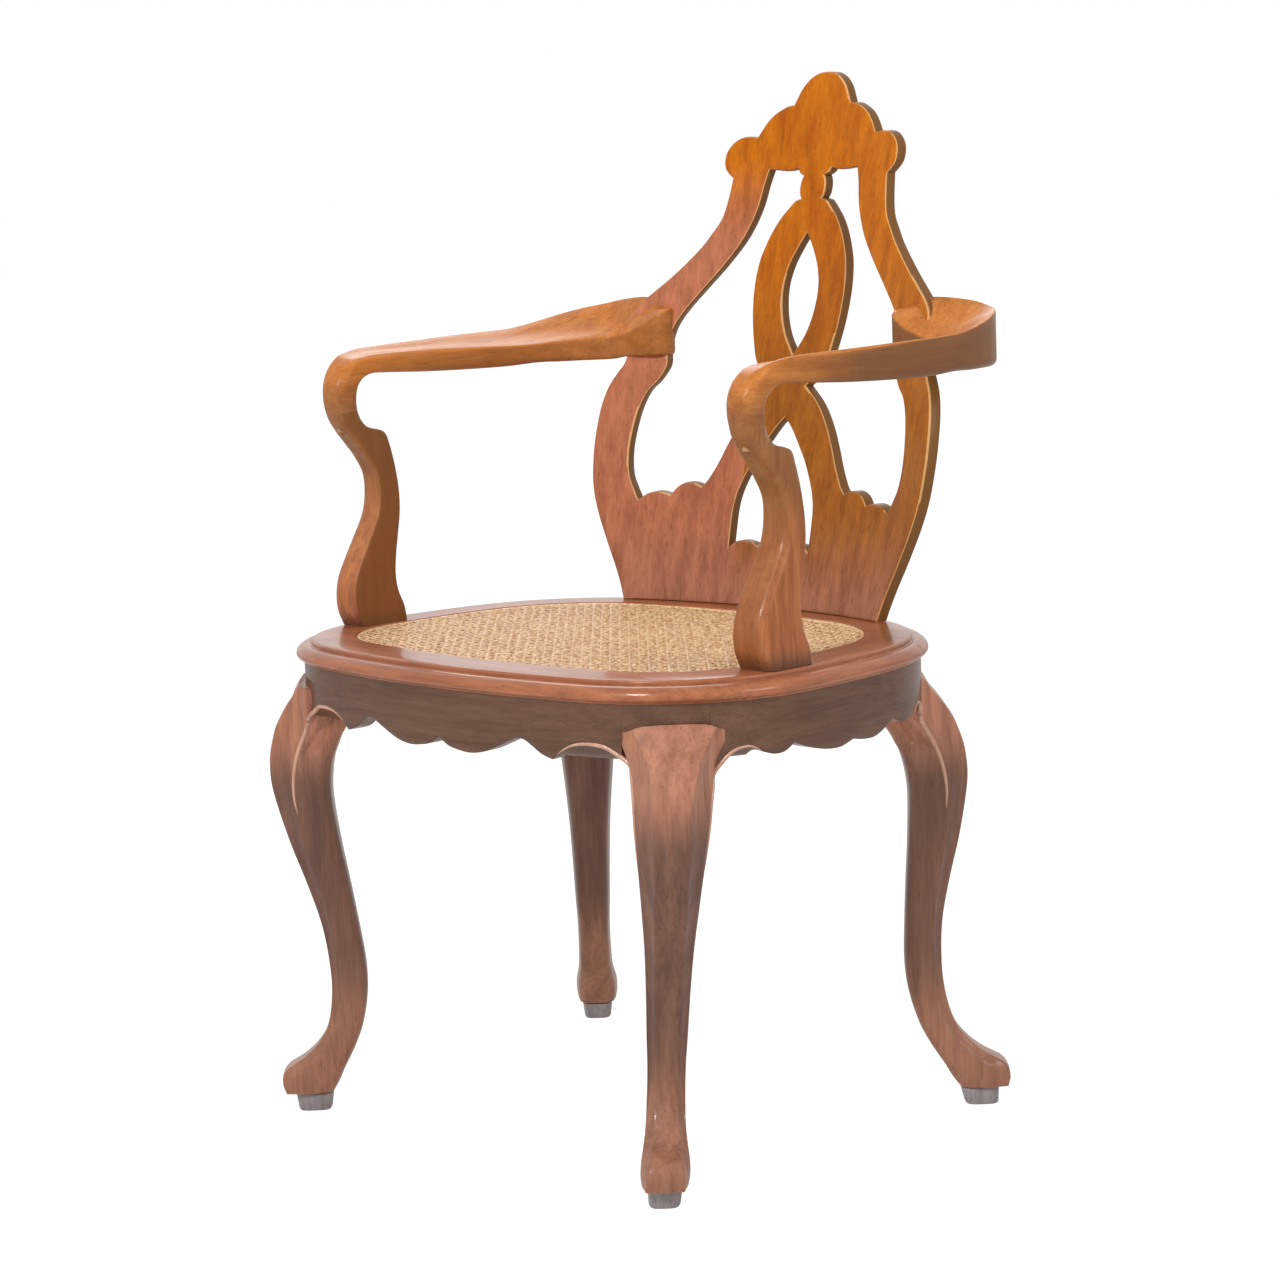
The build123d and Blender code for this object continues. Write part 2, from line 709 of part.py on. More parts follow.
front_plane = Plane((0, seat_centre_y - seat_depth / 2 + block_depth, 0), x_dir=(1, 0, 0),
                    z_dir=(0, -1, 0))
rear_plane = Plane((0, seat_centre_y + seat_depth / 2 - block_depth, 0), x_dir=(-1, 0, 0),
                   z_dir=(0, 1, 0))
left_plane = Plane((seat_width / 2 - block_depth, seat_centre_y, 0), x_dir=(0, 1, 0),
                   z_dir=(1, 0, 0))
right_plane = Plane((block_depth - seat_width / 2, seat_centre_y, 0), x_dir=(0, -1, 0),
                    z_dir=(-1, 0, 0))
front_left, front_right, rear_left, rear_right = corners
aprons = {
    "front": (front_plane, front_lobe_shares, front_foot_x, front_foot_x, front_left, front_right, -1),
    "rear": (rear_plane, front_lobe_shares, front_foot_x, front_foot_x, rear_left, rear_right, -1),
    "left": (left_plane, side_lobe_shares, rear_foot_y, front_foot_y, front_left, rear_left, 1),
    "right": (right_plane, side_lobe_shares, front_foot_y, rear_foot_y, front_right, rear_right, 1),
}
tenons = {}
for name, (plane, lobes, far_span, near_span, first, second, side) in aprons.items():
    with BuildPart() as apron:
        with BuildSketch(plane):
            add(apron_profile(Plane.XY, lobes, far_span, near_span))
        extrude(amount=2 * block_depth)
        band = seat_band(apron_reach, apron_inner_reach, apron_bottom, rail_bottom)
        add(band, mode=Mode.INTERSECT)
        for corner in (first, second):
            core = corner.column(overrun, block_depth + 2 * overrun, block_width, 0, seat_height)
            add(core, mode=Mode.SUBTRACT)
        for corner in (first, second):
            tenon = apron_tenon(corner, side)
            tenons.setdefault(corner.name, []).append(tenon)
            add(tenon)
        add(seat_dowels.part, mode=Mode.SUBTRACT)
    apron.part.label = f"apron_{name}"
    export_step(apron.part, f"parts/apron_{name}.step")

# Corner blocks glued behind the legs, each with a screw into its leg
corner_screws = {}
for corner in corners:
    reach = -block_setback - block_depth
    low = rail_bottom - corner_block_height
    screw_height = rail_bottom - corner_block_height / 2
    head_reach = reach - corner_block_depth
    corner_screws[corner.name] = screw(corner.upright(screw_height, head_reach), block_screw_length)
    with BuildPart() as corner_block:
        add(corner.column(reach, corner_block_depth, corner_block_width, low, rail_bottom))
        add(seat_slab(apron_inner_reach, low, rail_bottom), mode=Mode.INTERSECT)
        add(corner_screws[corner.name], mode=Mode.SUBTRACT)
    corner_block.part.label = f"corner_block_{corner.name}"
    export_step(corner_block.part, f"parts/corner_block_{corner.name}.step")

with BuildPart() as corner_block_screws:
    for fastener in corner_screws.values():
        add(fastener)
corner_block_screws.part.label = "corner_block_screws"
export_step(corner_block_screws.part, "parts/corner_block_screws.step")

# Legs, section by section: height as a share of the knee's top, then the outer face, the
# inner face and the width as shares of the knee's width
leg_shares = [
    (0.038, 0.3, -0.225, 0.475), (0.067, 0.3625, -0.3125, 0.5375), (0.096, 0.325, -0.38, 0.53),
    (0.12, 0.125, -0.45, 0.4875), (0.148, -0.05, -0.525, 0.445), (0.191, -0.2, -0.6125, 0.425),
    (0.263, -0.269, -0.68, 0.42), (0.335, -0.2625, -0.68, 0.45), (0.431, -0.1875, -0.6125, 0.484),
    (0.526, -0.0375, -0.53, 0.54), (0.622, 0.1375, -0.444, 0.625), (0.718, 0.28, -0.375, 0.725),
    (0.766, 0.33, -0.375, 0.775), (0.813, 0.3375, -0.41, 0.82), (0.861, 0.294, -0.51, 0.86),
    (0.909, 0.2, -0.65, 0.925), (0.957, 0.04, -0.75, 0.99), (1, -0.05, -0.8, 1),
]
for corner in corners:
    with BuildPart() as leg:
        for height, outer, inner, width in leg_shares:
            reach = (outer + inner) / 2 * knee_width
            with BuildSketch(corner.level(height * knee_top, reach)):
                Rectangle((outer - inner) * knee_width, width * knee_width)
        loft()
        with BuildSketch(corner.level(pad_height, 0)):
            RectangleRounded(pad_depth, pad_width, pad_round)
        with BuildSketch(corner.level(0, 0)):
            RectangleRounded(pad_depth - pad_taper, pad_width - pad_taper, pad_round)
        loft()
    with BuildPart() as leg_block:
        add(corner.column(overrun, block_depth + block_setback + overrun, block_width,
                          block_bottom, rail_bottom))
        add(seat_slab(apron_reach, block_bottom, rail_bottom), mode=Mode.INTERSECT)
    with BuildPart() as whole_leg:
        add(leg.part)
        add(leg_block.part)
        for tenon in tenons[corner.name]:
            add(tenon, mode=Mode.SUBTRACT)
        add(corner_screws[corner.name], mode=Mode.SUBTRACT)
    whole_leg.part.label = f"leg_{corner.name}"
    export_step(whole_leg.part, f"parts/leg_{corner.name}.step")

# Back boards
board_names = {
    "back_left": ["back_board_left", "back_strip_left"],
    "back_right": ["back_board_right", "back_strip_right"],
    "back_centre": ["back_splat", "back_base"],
}
board_tenon_x = {"back_board_left": back_tenon_x, "back_board_right": -back_tenon_x, "back_base": 0}
for strip_name, names in board_names.items():
    for name, solid in zip(names, back_boards[strip_name]):
        with BuildPart() as board:
            add(solid)
            if name in board_tenon_x:
                add(back_tenon(board_tenon_x[name]))
            if name.startswith("back_board"):
                add(back_joint_dowels.part, mode=Mode.SUBTRACT)
        board.part.label = name
        export_step(board.part, f"parts/{name}.step")
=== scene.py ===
# %% [markdown]
# # A cane-seated armchair
# The chair is a late copy of a French salon chair: carved hardwood under a red-brown varnish,
# with a seat of woven cane. This lesson dresses its frame piece by piece. Shapes are typed in
# millimetres, because that is how a chair maker measures, and one helper turns them into
# Blender's metres. The camera, lamps, saw cuts, finishes and weave are in metres from the start.

# %% The frame and the tools
import bpy
import bmesh
import math
from mathutils import Matrix, Vector
from mathutils.geometry import delaunay_2d_cdt


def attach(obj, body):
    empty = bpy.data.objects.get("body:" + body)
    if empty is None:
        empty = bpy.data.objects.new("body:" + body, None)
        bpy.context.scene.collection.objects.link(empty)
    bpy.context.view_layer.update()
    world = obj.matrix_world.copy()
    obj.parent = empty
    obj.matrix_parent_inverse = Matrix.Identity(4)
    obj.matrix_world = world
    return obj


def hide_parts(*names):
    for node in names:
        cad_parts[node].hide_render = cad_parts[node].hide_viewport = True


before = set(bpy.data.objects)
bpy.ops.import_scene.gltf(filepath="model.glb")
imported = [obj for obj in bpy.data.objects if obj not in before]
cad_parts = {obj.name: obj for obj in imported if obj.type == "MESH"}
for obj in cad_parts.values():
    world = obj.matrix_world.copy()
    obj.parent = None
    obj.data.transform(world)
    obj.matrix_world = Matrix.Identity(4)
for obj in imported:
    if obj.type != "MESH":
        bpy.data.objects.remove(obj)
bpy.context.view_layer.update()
print("nodes in the frame:", len(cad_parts))

METRE = 1000
# The middle of the seat from front to back, and the tops of the seat frame and the aprons.
SEAT_Y = -49.6
SEAT_TOP = 455.0
APRON_TOP = 435.0
# The least length that counts, in metres, and the share of a diagonal that goes along each axis.
TINY = 1e-7
DIAGONAL = math.sqrt(0.5)

# %% [markdown]
# ## Small helpers
# Most pieces here are lofts: closed rows of points joined by quads. One helper makes the mesh
# object, one joins the rows, and one cleans the result. Every finished object stays at the
# origin, with its place in its mesh, as the pieces of the frame do.

# %% Mesh helpers
MERGE = 0.00002


def new_object(name, data):
    """Object that carries a mesh, a lamp or a camera, placed in the scene."""
    obj = bpy.data.objects.new(name, data)
    bpy.context.scene.collection.objects.link(obj)
    return obj


def piece(name, points, faces):
    """Smooth mesh object from points in millimetres."""
    mesh = bpy.data.meshes.new(name)
    mesh.from_pydata([(x / METRE, y / METRE, z / METRE) for x, y, z in points], [], faces)
    for polygon in mesh.polygons:
        polygon.use_smooth = True
    return new_object(name, mesh)


def tidy(obj, sharp=40):
    """Merges doubles, turns the faces outward and marks edges sharper than an angle."""
    bm = bmesh.new()
    bm.from_mesh(obj.data)
    bmesh.ops.remove_doubles(bm, verts=bm.verts, dist=MERGE)
    bmesh.ops.dissolve_degenerate(bm, edges=bm.edges, dist=TINY)
    bmesh.ops.recalc_face_normals(bm, faces=bm.faces)
    for edge in bm.edges:
        edge.smooth = edge.calc_face_angle(0.0) < math.radians(sharp)
    for face in bm.faces:
        face.smooth = True
    bm.to_mesh(obj.data)
    bm.free()
    return obj


def loft(rows, caps=True):
    """Points and faces of closed rows of equal length, each row joined to the next."""
    count = len(rows[0])
    points = [p for row in rows for p in row]
    last = len(points) - count
    faces = []
    for a in range(0, last, count):
        b = a + count
        for i in range(count):
            j = (i + 1) % count
            faces.append((a + i, a + j, b + j, b + i))
    if caps:
        faces.append(tuple(range(count))[::-1])
        faces.append(tuple(range(last, last + count)))
    return points, faces


print("mesh helpers: new_object, piece, tidy, loft")

# %% [markdown]
# ## Smooth curves
# A carver marks a few heights on a leg and joins them by eye. The same is done here with a short
# table of sizes and a smooth curve through its rows. A second helper runs a curve through points
# and spaces new ones evenly along it, and a third tells how far a value has come on its way.

# %% Curve helpers
DENSE = 24


def part_way(value, start, width):
    """How far a value has come from a start over a width, from 0 to 1."""
    return min(max((value - start) / width, 0), 1)


def smooth_table(table, keys):
    """Rows of a table, sorted by the first column, read along a smooth curve at each key."""
    result = []
    for key in keys:
        k = 0
        while k < len(table) - 2 and key > table[k + 1][0]:
            k += 1
        p1, p2 = table[k], table[k + 1]
        p0 = table[k - 1] if k else p1
        p3 = table[k + 2] if k + 2 < len(table) else p2
        h = p2[0] - p1[0]
        t = part_way(key, p1[0], h)
        row = []
        for c in range(1, len(p1)):
            m1 = (p2[c] - p0[c]) / (p2[0] - p0[0]) * h
            m2 = (p3[c] - p1[c]) / (p3[0] - p1[0]) * h
            row.append((2 * t**3 - 3 * t**2 + 1) * p1[c] + (t**3 - 2 * t**2 + t) * m1
                       + (3 * t**2 - 2 * t**3) * p2[c] + (t**3 - t**2) * m2)
        result.append(row)
    return result


def spline_points(points, step):
    """Evenly spaced points on a smooth curve through a few given ones."""
    dense = []
    n = len(points)
    for k in range(n - 1):
        p0 = Vector(points[max(k - 1, 0)])
        p1 = Vector(points[k])
        p2 = Vector(points[k + 1])
        p3 = Vector(points[min(k + 2, n - 1)])
        if k == 0:
            p0 = p1 * 2 - p2
        if k == n - 2:
            p3 = p2 * 2 - p1
        for i in range(DENSE):
            t = i / DENSE
            dense.append(((p1 * 2) + (p2 - p0) * t + (p0 * 2 - p1 * 5 + p2 * 4 - p3) * t**2
                          + (p1 * 3 - p0 - p2 * 3 + p3) * t**3) * 0.5)
    dense.append(Vector(points[-1]))
    lengths = [0.0]
    for a, b in zip(dense, dense[1:]):
        lengths.append(lengths[-1] + (b - a).length)
    count = max(2, round(lengths[-1] / step))
    result = []
    k = 0
    for i in range(count + 1):
        want = lengths[-1] * i / count
        while k < len(lengths) - 2 and lengths[k + 1] < want:
            k += 1
        span = lengths[k + 1] - lengths[k]
        t = (want - lengths[k]) / span if span else 0.0
        result.append(dense[k].lerp(dense[k + 1], t))
    return result


print("halfway from 20 to 40 on a smooth curve:", smooth_table([(0, 10), (1, 20), (2, 40)], [1.5])[0])

# %% [markdown]
# ## Helpers for node trees
# The light, the finishes and the woven cane are all built from nodes. A node could be made in one
# line and each of its inputs filled in another, but here one helper does both, so that a tree
# reads as a list of what goes into what.

# %% Node helpers
EVEN = (1, 1, 1)
MIX_FACTOR, MIX_A, MIX_B, MIX_COLOR = 0, 6, 7, 2


def feed(tree, node, inputs):
    """Gives each input of a node a plain value, or links it to another node's output."""
    for key, source in inputs.items():
        if isinstance(source, bpy.types.NodeSocket):
            tree.links.new(source, node.inputs[key])
        else:
            node.inputs[key].default_value = source


def add_node(tree, kind, inputs=None, **settings):
    """New node with its settings and what its inputs get."""
    node = tree.nodes.new(kind)
    for key, value in settings.items():
        setattr(node, key, value)
    feed(tree, node, inputs or {})
    return node


def maths(tree, operation, a, b=0.0):
    """Output of one sum, such as ADD or MULTIPLY."""
    return add_node(tree, "ShaderNodeMath", {0: a, 1: b}, operation=operation).outputs[0]


def noise(tree, vector, scale, detail, stretch):
    """Noise, drawn out along the axes where the stretch is small."""
    stretched = add_node(tree, "ShaderNodeMapping", {"Vector": vector, "Scale": stretch})
    inputs = {"Vector": stretched.outputs["Vector"], "Scale": scale, "Detail": detail}
    return add_node(tree, "ShaderNodeTexNoise", inputs).outputs["Fac"]


def ramp(tree, value, low, high, to_low=0.0, to_high=1.0, **settings):
    """Value stretched from one range to another and clamped."""
    inputs = {"Value": value, "From Min": low, "From Max": high,
              "To Min": to_low, "To Max": to_high}
    return add_node(tree, "ShaderNodeMapRange", inputs, **settings).outputs["Result"]


def blend(tree, factor, a, b):
    """Mix of two colours."""
    inputs = {MIX_FACTOR: factor, MIX_A: a, MIX_B: b}
    return add_node(tree, "ShaderNodeMix", inputs, data_type="RGBA").outputs[MIX_COLOR]


def node_group(name, kind, inputs, outputs):
    """Node group, its inputs (name, kind, default) and the node that takes its outputs."""
    tree = bpy.data.node_groups.new(name, kind)
    for title, socket_kind, default in inputs:
        made = tree.interface.new_socket(name=title, in_out="INPUT",
                                         socket_type=f"NodeSocket{socket_kind}")
        if default is not None:
            made.default_value = default
    for title, socket_kind in outputs:
        tree.interface.new_socket(name=title, in_out="OUTPUT",
                                  socket_type=f"NodeSocket{socket_kind}")
    entry = add_node(tree, "NodeGroupInput").outputs
    return tree, entry, add_node(tree, "NodeGroupOutput")


print("node helpers: feed, add_node, maths, noise, ramp, blend, node_group")

# %% [markdown]
# ## Camera
# The photograph was taken with a long lens from hip height, halfway round to the sitter's left.
# The camera stands there, and its roll is kept, so every edge can be laid over the photograph.

# %% Camera
VIEW_YAW = -0.784443339
VIEW_PITCH = -0.144275939
VIEW_ROLL = -0.037135285
VIEW_PLACE = (2.10703, -2.12812, 0.87785)
FOCAL_PIXELS = 3184.627
IMAGE_PIXELS = 1280
SENSOR = 36

look = Vector((math.sin(VIEW_YAW) * math.cos(VIEW_PITCH),
               math.cos(VIEW_YAW) * math.cos(VIEW_PITCH), math.sin(VIEW_PITCH)))
level = Vector((math.cos(VIEW_YAW), -math.sin(VIEW_YAW), 0))
upright = level.cross(look)
right = level * math.cos(VIEW_ROLL) + upright * math.sin(VIEW_ROLL)
up = upright * math.cos(VIEW_ROLL) - level * math.sin(VIEW_ROLL)
camera_data = bpy.data.cameras.new("camera")
camera_data.lens = FOCAL_PIXELS / IMAGE_PIXELS * SENSOR
camera_data.sensor_width = SENSOR
camera_data.clip_end = 50
camera = new_object("camera", camera_data)
turn = Matrix((right, up, -look)).transposed().to_4x4()
camera.matrix_world = Matrix.Translation(VIEW_PLACE) @ turn
bpy.context.scene.camera = camera
print("camera lens", round(camera_data.lens, 2), "mm")

# %% [markdown]
# ## Light and floor
# Soft studio light: one lamp above and in front, one from the side and a weaker one behind, with
# a pale world. The floor and the world have to look white, but white surroundings would wash out
# the wood, so each has two shaders: a dimmer one that lights the chair, and a white one for the
# rays that show the surroundings. The floor mixes in a share of the first even for the camera,
# so that the chair's shadow stays.

# %% Light and floor
WHITE = (1, 1, 1, 1)
FLOOR_HALF = 30
WORLD_LIGHT = 0.56


def two_shaders(tree, output, lit, shown, rays, share=1.0):
    """One shader (kind, inputs) for the light on the chair and one for the rays named."""
    tree.nodes.clear()
    path = add_node(tree, "ShaderNodeLightPath")
    seen = path.outputs[rays[0]]
    for ray_kind in rays[1:]:
        seen = maths(tree, "MAXIMUM", seen, path.outputs[ray_kind])
    inputs = {"Fac": maths(tree, "MULTIPLY", seen, share),
              1: add_node(tree, *lit).outputs[0], 2: add_node(tree, *shown).outputs[0]}
    mixed = add_node(tree, "ShaderNodeMixShader", inputs)
    add_node(tree, output, {"Surface": mixed.outputs[0]})


def lamp(name, place, target, size, watts):
    """Square lamp at a place, turned to a target; lengths in metres."""
    data = bpy.data.lights.new(name, "AREA")
    data.shape = "SQUARE"
    data.size = size
    data.energy = watts
    obj = new_object(name, data)
    obj.location = place
    aim = Vector(target) - Vector(place)
    obj.rotation_euler = aim.to_track_quat("-Z", "Y").to_euler()


bpy.context.scene.view_settings.view_transform = "Standard"
world = bpy.data.worlds.new("studio")
bpy.context.scene.world = world
world.use_nodes = True
two_shaders(world.node_tree, "ShaderNodeOutputWorld",
            ("ShaderNodeBackground", {"Color": WHITE, "Strength": WORLD_LIGHT}),
            ("ShaderNodeBackground", {"Color": WHITE, "Strength": 1.0}),
            ("Is Camera Ray", "Is Glossy Ray", "Is Transmission Ray"))
lamp("key", (0.7, -2.6, 2.3), (0, 0, 0.5), 0.6, 52)
lamp("side", (2.8, 0.2, 1.7), (0, 0, 0.5), 1.0, 17)
lamp("back", (-1.8, 1.6, 2.2), (0, 0, 0.6), 1.4, 14)

floor_mesh = bpy.data.meshes.new("floor")
floor_corners = ((-1, -1), (1, -1), (1, 1), (-1, 1))
floor_mesh.from_pydata([(x * FLOOR_HALF, y * FLOOR_HALF, 0) for x, y in floor_corners], [],
                       [(0, 1, 2, 3)])
floor = new_object("floor", floor_mesh)
floor_finish = bpy.data.materials.new("studio_floor")
floor_finish.use_nodes = True
two_shaders(floor_finish.node_tree, "ShaderNodeOutputMaterial",
            ("ShaderNodeBsdfDiffuse", {"Color": (0.9, 0.9, 0.9, 1)}),
            ("ShaderNodeEmission", {"Color": WHITE, "Strength": 1.25}),
            ("Is Camera Ray",), share=0.76)
floor.data.materials.append(floor_finish)
print("lamps:", len(bpy.data.lights), "world strength", WORLD_LIGHT)

# %% [markdown]
# ## The varnished wood
# Up close the wood is a warm red-brown with long darker streaks, short open pores and a clear
# satin varnish. All of that is one node group, laid along whichever way the grain of a piece
# runs, and each piece's material turns it and chooses its colours.

# %% Wood grain group
grain, g_in, g_out = node_group("wood_grain", "ShaderNodeTree", (
    ("Vector", "Vector", None),
    ("Light", "Color", (0.42, 0.17, 0.08, 1)),
    ("Dark", "Color", (0.16, 0.05, 0.03, 1)),
    ("Streaks", "Float", 1.0),
    ("Pores", "Float", 1.0),
    ("Mottle", "Float", 1.0),
), (("Color", "Color"), ("Roughness", "Float"), ("Height", "Float")))

# Of each layer of noise: scale, detail, stretch, and the two values between which it shows.
GRAIN_LAYERS = {
    "streak": (14, 5, (6, 6, 0.55), 0.35, 0.68),
    "fine": (60, 3, (6, 6, 0.35), 0.4, 0.62),
    "mottle": (5, 3, (1.2, 1.2, 0.7), 0.3, 0.7),
    "pore": (190, 2, (3, 3, 0.16), 0.62, 0.7),
}
PORE_COLOR = (0.04, 0.015, 0.01, 1)
layers = {}
for layer, (scale, detail, stretch, low, high) in GRAIN_LAYERS.items():
    layers[layer] = ramp(grain, noise(grain, g_in["Vector"], scale, detail, stretch), low, high)


def layer_amount(layer, setting, most):
    """A layer's noise times one of the group's settings and the most that it may darken."""
    return maths(grain, "MULTIPLY", layers[layer], maths(grain, "MULTIPLY", g_in[setting], most))


streak_amount = layer_amount("streak", "Streaks", 0.6)
fine_amount = layer_amount("fine", "Streaks", 0.25)
mottle_amount = layer_amount("mottle", "Mottle", 0.35)
pore_amount = layer_amount("pore", "Pores", 0.55)
dark_amount = maths(grain, "ADD", streak_amount, maths(grain, "ADD", fine_amount, mottle_amount))
base = blend(grain, dark_amount, g_in["Light"], g_in["Dark"])
rough = ramp(grain, noise(grain, g_in["Vector"], 9, 3, EVEN), 0.3, 0.7, 0.26, 0.42)
feed(grain, g_out, {
    "Color": blend(grain, pore_amount, base, PORE_COLOR),
    "Roughness": maths(grain, "ADD", rough, maths(grain, "MULTIPLY", pore_amount, 0.3)),
    "Height": maths(grain, "SUBTRACT", maths(grain, "MULTIPLY", layers["fine"], 0.25),
                    layers["pore"]),
})
print("grain group nodes:", len(grain.nodes))

# %% [markdown]
# ## Tone by height and by face
# Old varnish isn't one colour, and some of the colour here is painted light and shade. Of the wood's
# own tones, the boards differ, the pads are grey, sawn edges are dark and rubbed arrises pale. Painted
# on top are a lighter knee and foot and a darker middle on each leg, shade on the sides of the arms
# and posts that turn from the light, deeper shade on the boards' edges, and a painted highlight on
# arrises toward the side lamp. Two more groups do this: one blends two colours between two heights,
# one reads marks that each piece's mesh carries, so the same tone can follow a saw cut wherever it
# turns.

# %% Tone groups
by_height, h_in, h_out = node_group("tone_by_height", "ShaderNodeTree", (
    ("Vector", "Vector", None),
    ("Below", "Color", (0.2, 0.1, 0.06, 1)),
    ("Above", "Color", (0.5, 0.2, 0.1, 1)),
    ("From", "Float", 0.0),
    ("To", "Float", 1.0),
), (("Color", "Color"),))
apart = add_node(by_height, "ShaderNodeSeparateXYZ", {"Vector": h_in["Vector"]})
rise = ramp(by_height, apart.outputs["Z"], h_in["From"], h_in["To"],
            interpolation_type="SMOOTHSTEP")
feed(by_height, h_out, {"Color": blend(by_height, rise, h_in["Below"], h_in["Above"])})

# The sawn colour also serves as painted shade, and the rubbed colour partly as a painted highlight.
by_face, f_in, f_out = node_group("tone_by_face", "ShaderNodeTree", (
    ("Face", "Color", (0.5, 0.2, 0.1, 1)),
    ("Sawn And Shaded", "Color", (0.15, 0.08, 0.03, 1)),
    ("Rubbed And Highlit", "Color", (0.7, 0.4, 0.2, 1)),
    ("Sawn And Shaded Mark", "Float", 0.0),
    ("Rubbed And Highlit Mark", "Float", 0.0),
), (("Color", "Color"),))
sawn_and_shaded_tone = blend(by_face, f_in["Sawn And Shaded Mark"], f_in["Face"], f_in["Sawn And Shaded"])
rubbed_and_highlit_tone = blend(by_face, f_in["Rubbed And Highlit Mark"], sawn_and_shaded_tone, f_in["Rubbed And Highlit"])
feed(by_face, f_out, {"Color": rubbed_and_highlit_tone})
print("node groups:", [group.name for group in bpy.data.node_groups])

# %% [markdown]
# ## Marks on the faces
# The tone by face needs something to read. Each face gets two numbers: how far it turns away from an
# axis, as a sawn edge turns from the front of its board, and whether it lies on an arris. The first
# darkens sawn edges and also paints shade on the faces of the arms and posts that turn from the light.
# The second marks rubbed arrises, brighter as a painted highlight on the side toward the side lamp.
# They could be painted by hand, but they follow from the way each face looks.

# %% Marks for sawn and rubbed faces
ARRIS_AREA = 0.00002
# A rubbed arris is brighter on faces turned to +X, toward the side lamp: that part is a painted
# highlight.
LIT_SIDE = 0.25
RUBBED_LIT, RUBBED_SHADED = 0.65, 0.1


def marks(obj, axis, sawn_and_shaded=(0.45, 0.7), strength=1.0, rubbed_and_highlit=(0.5, 0.88), one_way=False,
          fade=(-9, -8)):
    """Marks a mesh's faces by their turn from an axis: sawn edges and painted shade, and pale arrises.

    The dark mark falls to nothing between the two turns, and comes in along Y over the fade."""
    mesh = obj.data
    sawn_and_shaded_mark = mesh.attributes.new("sawn_and_shaded", "FLOAT", "FACE")
    rubbed_and_highlit_mark = mesh.attributes.new("rubbed_and_highlit", "FLOAT", "FACE")
    for polygon in mesh.polygons:
        facing = polygon.normal.dot(axis)
        facing = facing if one_way else abs(facing)
        share = part_way(facing, sawn_and_shaded[1], sawn_and_shaded[0] - sawn_and_shaded[1])
        share *= part_way(polygon.center.y, fade[0], fade[1] - fade[0])
        sawn_and_shaded_mark.data[polygon.index].value = strength * share
        on_arris = rubbed_and_highlit[0] < facing < rubbed_and_highlit[1] and polygon.area < ARRIS_AREA
        # Brighter on faces turned to +X: a painted highlight on top of the wear.
        lit = RUBBED_LIT if polygon.normal.x > LIT_SIDE else RUBBED_SHADED
        rubbed_and_highlit_mark.data[polygon.index].value = lit if on_arris else 0.0


print("rubbed mark:", RUBBED_LIT, "on the lit side and", RUBBED_SHADED, "elsewhere")

# %% [markdown]
# ## The wood finishes
# Every piece gets its own mix of the same groups. The grain is turned to lie along the piece,
# because a chair maker saws each part with its grain the long way. One function builds them all,
# and the varnish is the coat of Blender's own main shader.

# %% Wood material
ALONG_Y = (math.pi / 2, 0, 0)
ALONG_X = (0, math.pi / 2, 0)
PORES = 0.6
BUMP_STRENGTH = 0.12
BUMP_DEPTH = 0.0004
VARNISH_ROUGHNESS = 0.1


def new_finish(name):
    """Material, its tree, its shader and the coordinates of the object that wears it."""
    material = bpy.data.materials.new(name)
    material.use_nodes = True
    tree = material.node_tree
    place = add_node(tree, "ShaderNodeTexCoord").outputs["Object"]
    return material, tree, tree.nodes["Principled BSDF"], place


def wood(name, light, dark, grain_turn=(0, 0, 0), shift=(0, 0, 0), coat=0.2, gloss=0.2,
         bands=(), sawn_and_shaded=None, rubbed_and_highlit=None):
    """Varnished wood: grain, tones by height (from, to, two colours below), tones by face."""
    material, tree, shader, place = new_finish(name)
    tones = {"Light": (*light, 1), "Dark": (*dark, 1)}
    for low, high, *below in bands:
        for key, colour in zip(("Light", "Dark"), below):
            inputs = {"Vector": place, "Below": (*colour, 1), "Above": tones[key],
                      "From": low, "To": high}
            stage = add_node(tree, "ShaderNodeGroup", inputs, node_tree=by_height)
            tones[key] = stage.outputs["Color"]
    turned = add_node(tree, "ShaderNodeMapping",
                      {"Vector": place, "Rotation": grain_turn, "Location": shift})
    group = add_node(tree, "ShaderNodeGroup",
                     {"Vector": turned.outputs["Vector"], "Pores": PORES, **tones},
                     node_tree=grain)
    colour = group.outputs["Color"]
    if sawn_and_shaded:
        inputs = {"Face": colour, "Sawn And Shaded": (*sawn_and_shaded, 1), "Rubbed And Highlit": (*rubbed_and_highlit, 1)}
        for mark, target in (("sawn_and_shaded", "Sawn And Shaded Mark"), ("rubbed_and_highlit", "Rubbed And Highlit Mark")):
            reader = add_node(tree, "ShaderNodeAttribute", attribute_name=mark)
            inputs[target] = reader.outputs["Fac"]
        colour = add_node(tree, "ShaderNodeGroup", inputs, node_tree=by_face).outputs["Color"]
    bump = add_node(tree, "ShaderNodeBump",
                    {"Strength": BUMP_STRENGTH, "Distance": BUMP_DEPTH,
                     "Height": group.outputs["Height"]})
    feed(tree, shader, {
        "Base Color": colour,
        "Roughness": group.outputs["Roughness"],
        "Normal": bump.outputs["Normal"],
        "Coat Weight": coat,
        "Coat Roughness": VARNISH_ROUGHNESS,
        "Specular IOR Level": gloss,
    })
    return material


print("grain turns:", ALONG_X, ALONG_Y)

# %% [markdown]
# ## The woods of this chair
# Each part has its own tone, and some of it is painted light and shade. The legs are lighter at the
# knee and the foot and darker between, which is painted light and shade, and they end in grey pads.
# The aprons are dull and the rails are red. The arms are golden on top with painted shade on their
# sides, and the posts have painted shade on the faces turned from the light. The boards of the back
# were never stained to match: the one at the left of the picture is pinker than the one at its right.
# A band gives the two heights between which the tone changes, and the two colours below it.
# Left and right in the names of the colours are the picture's.

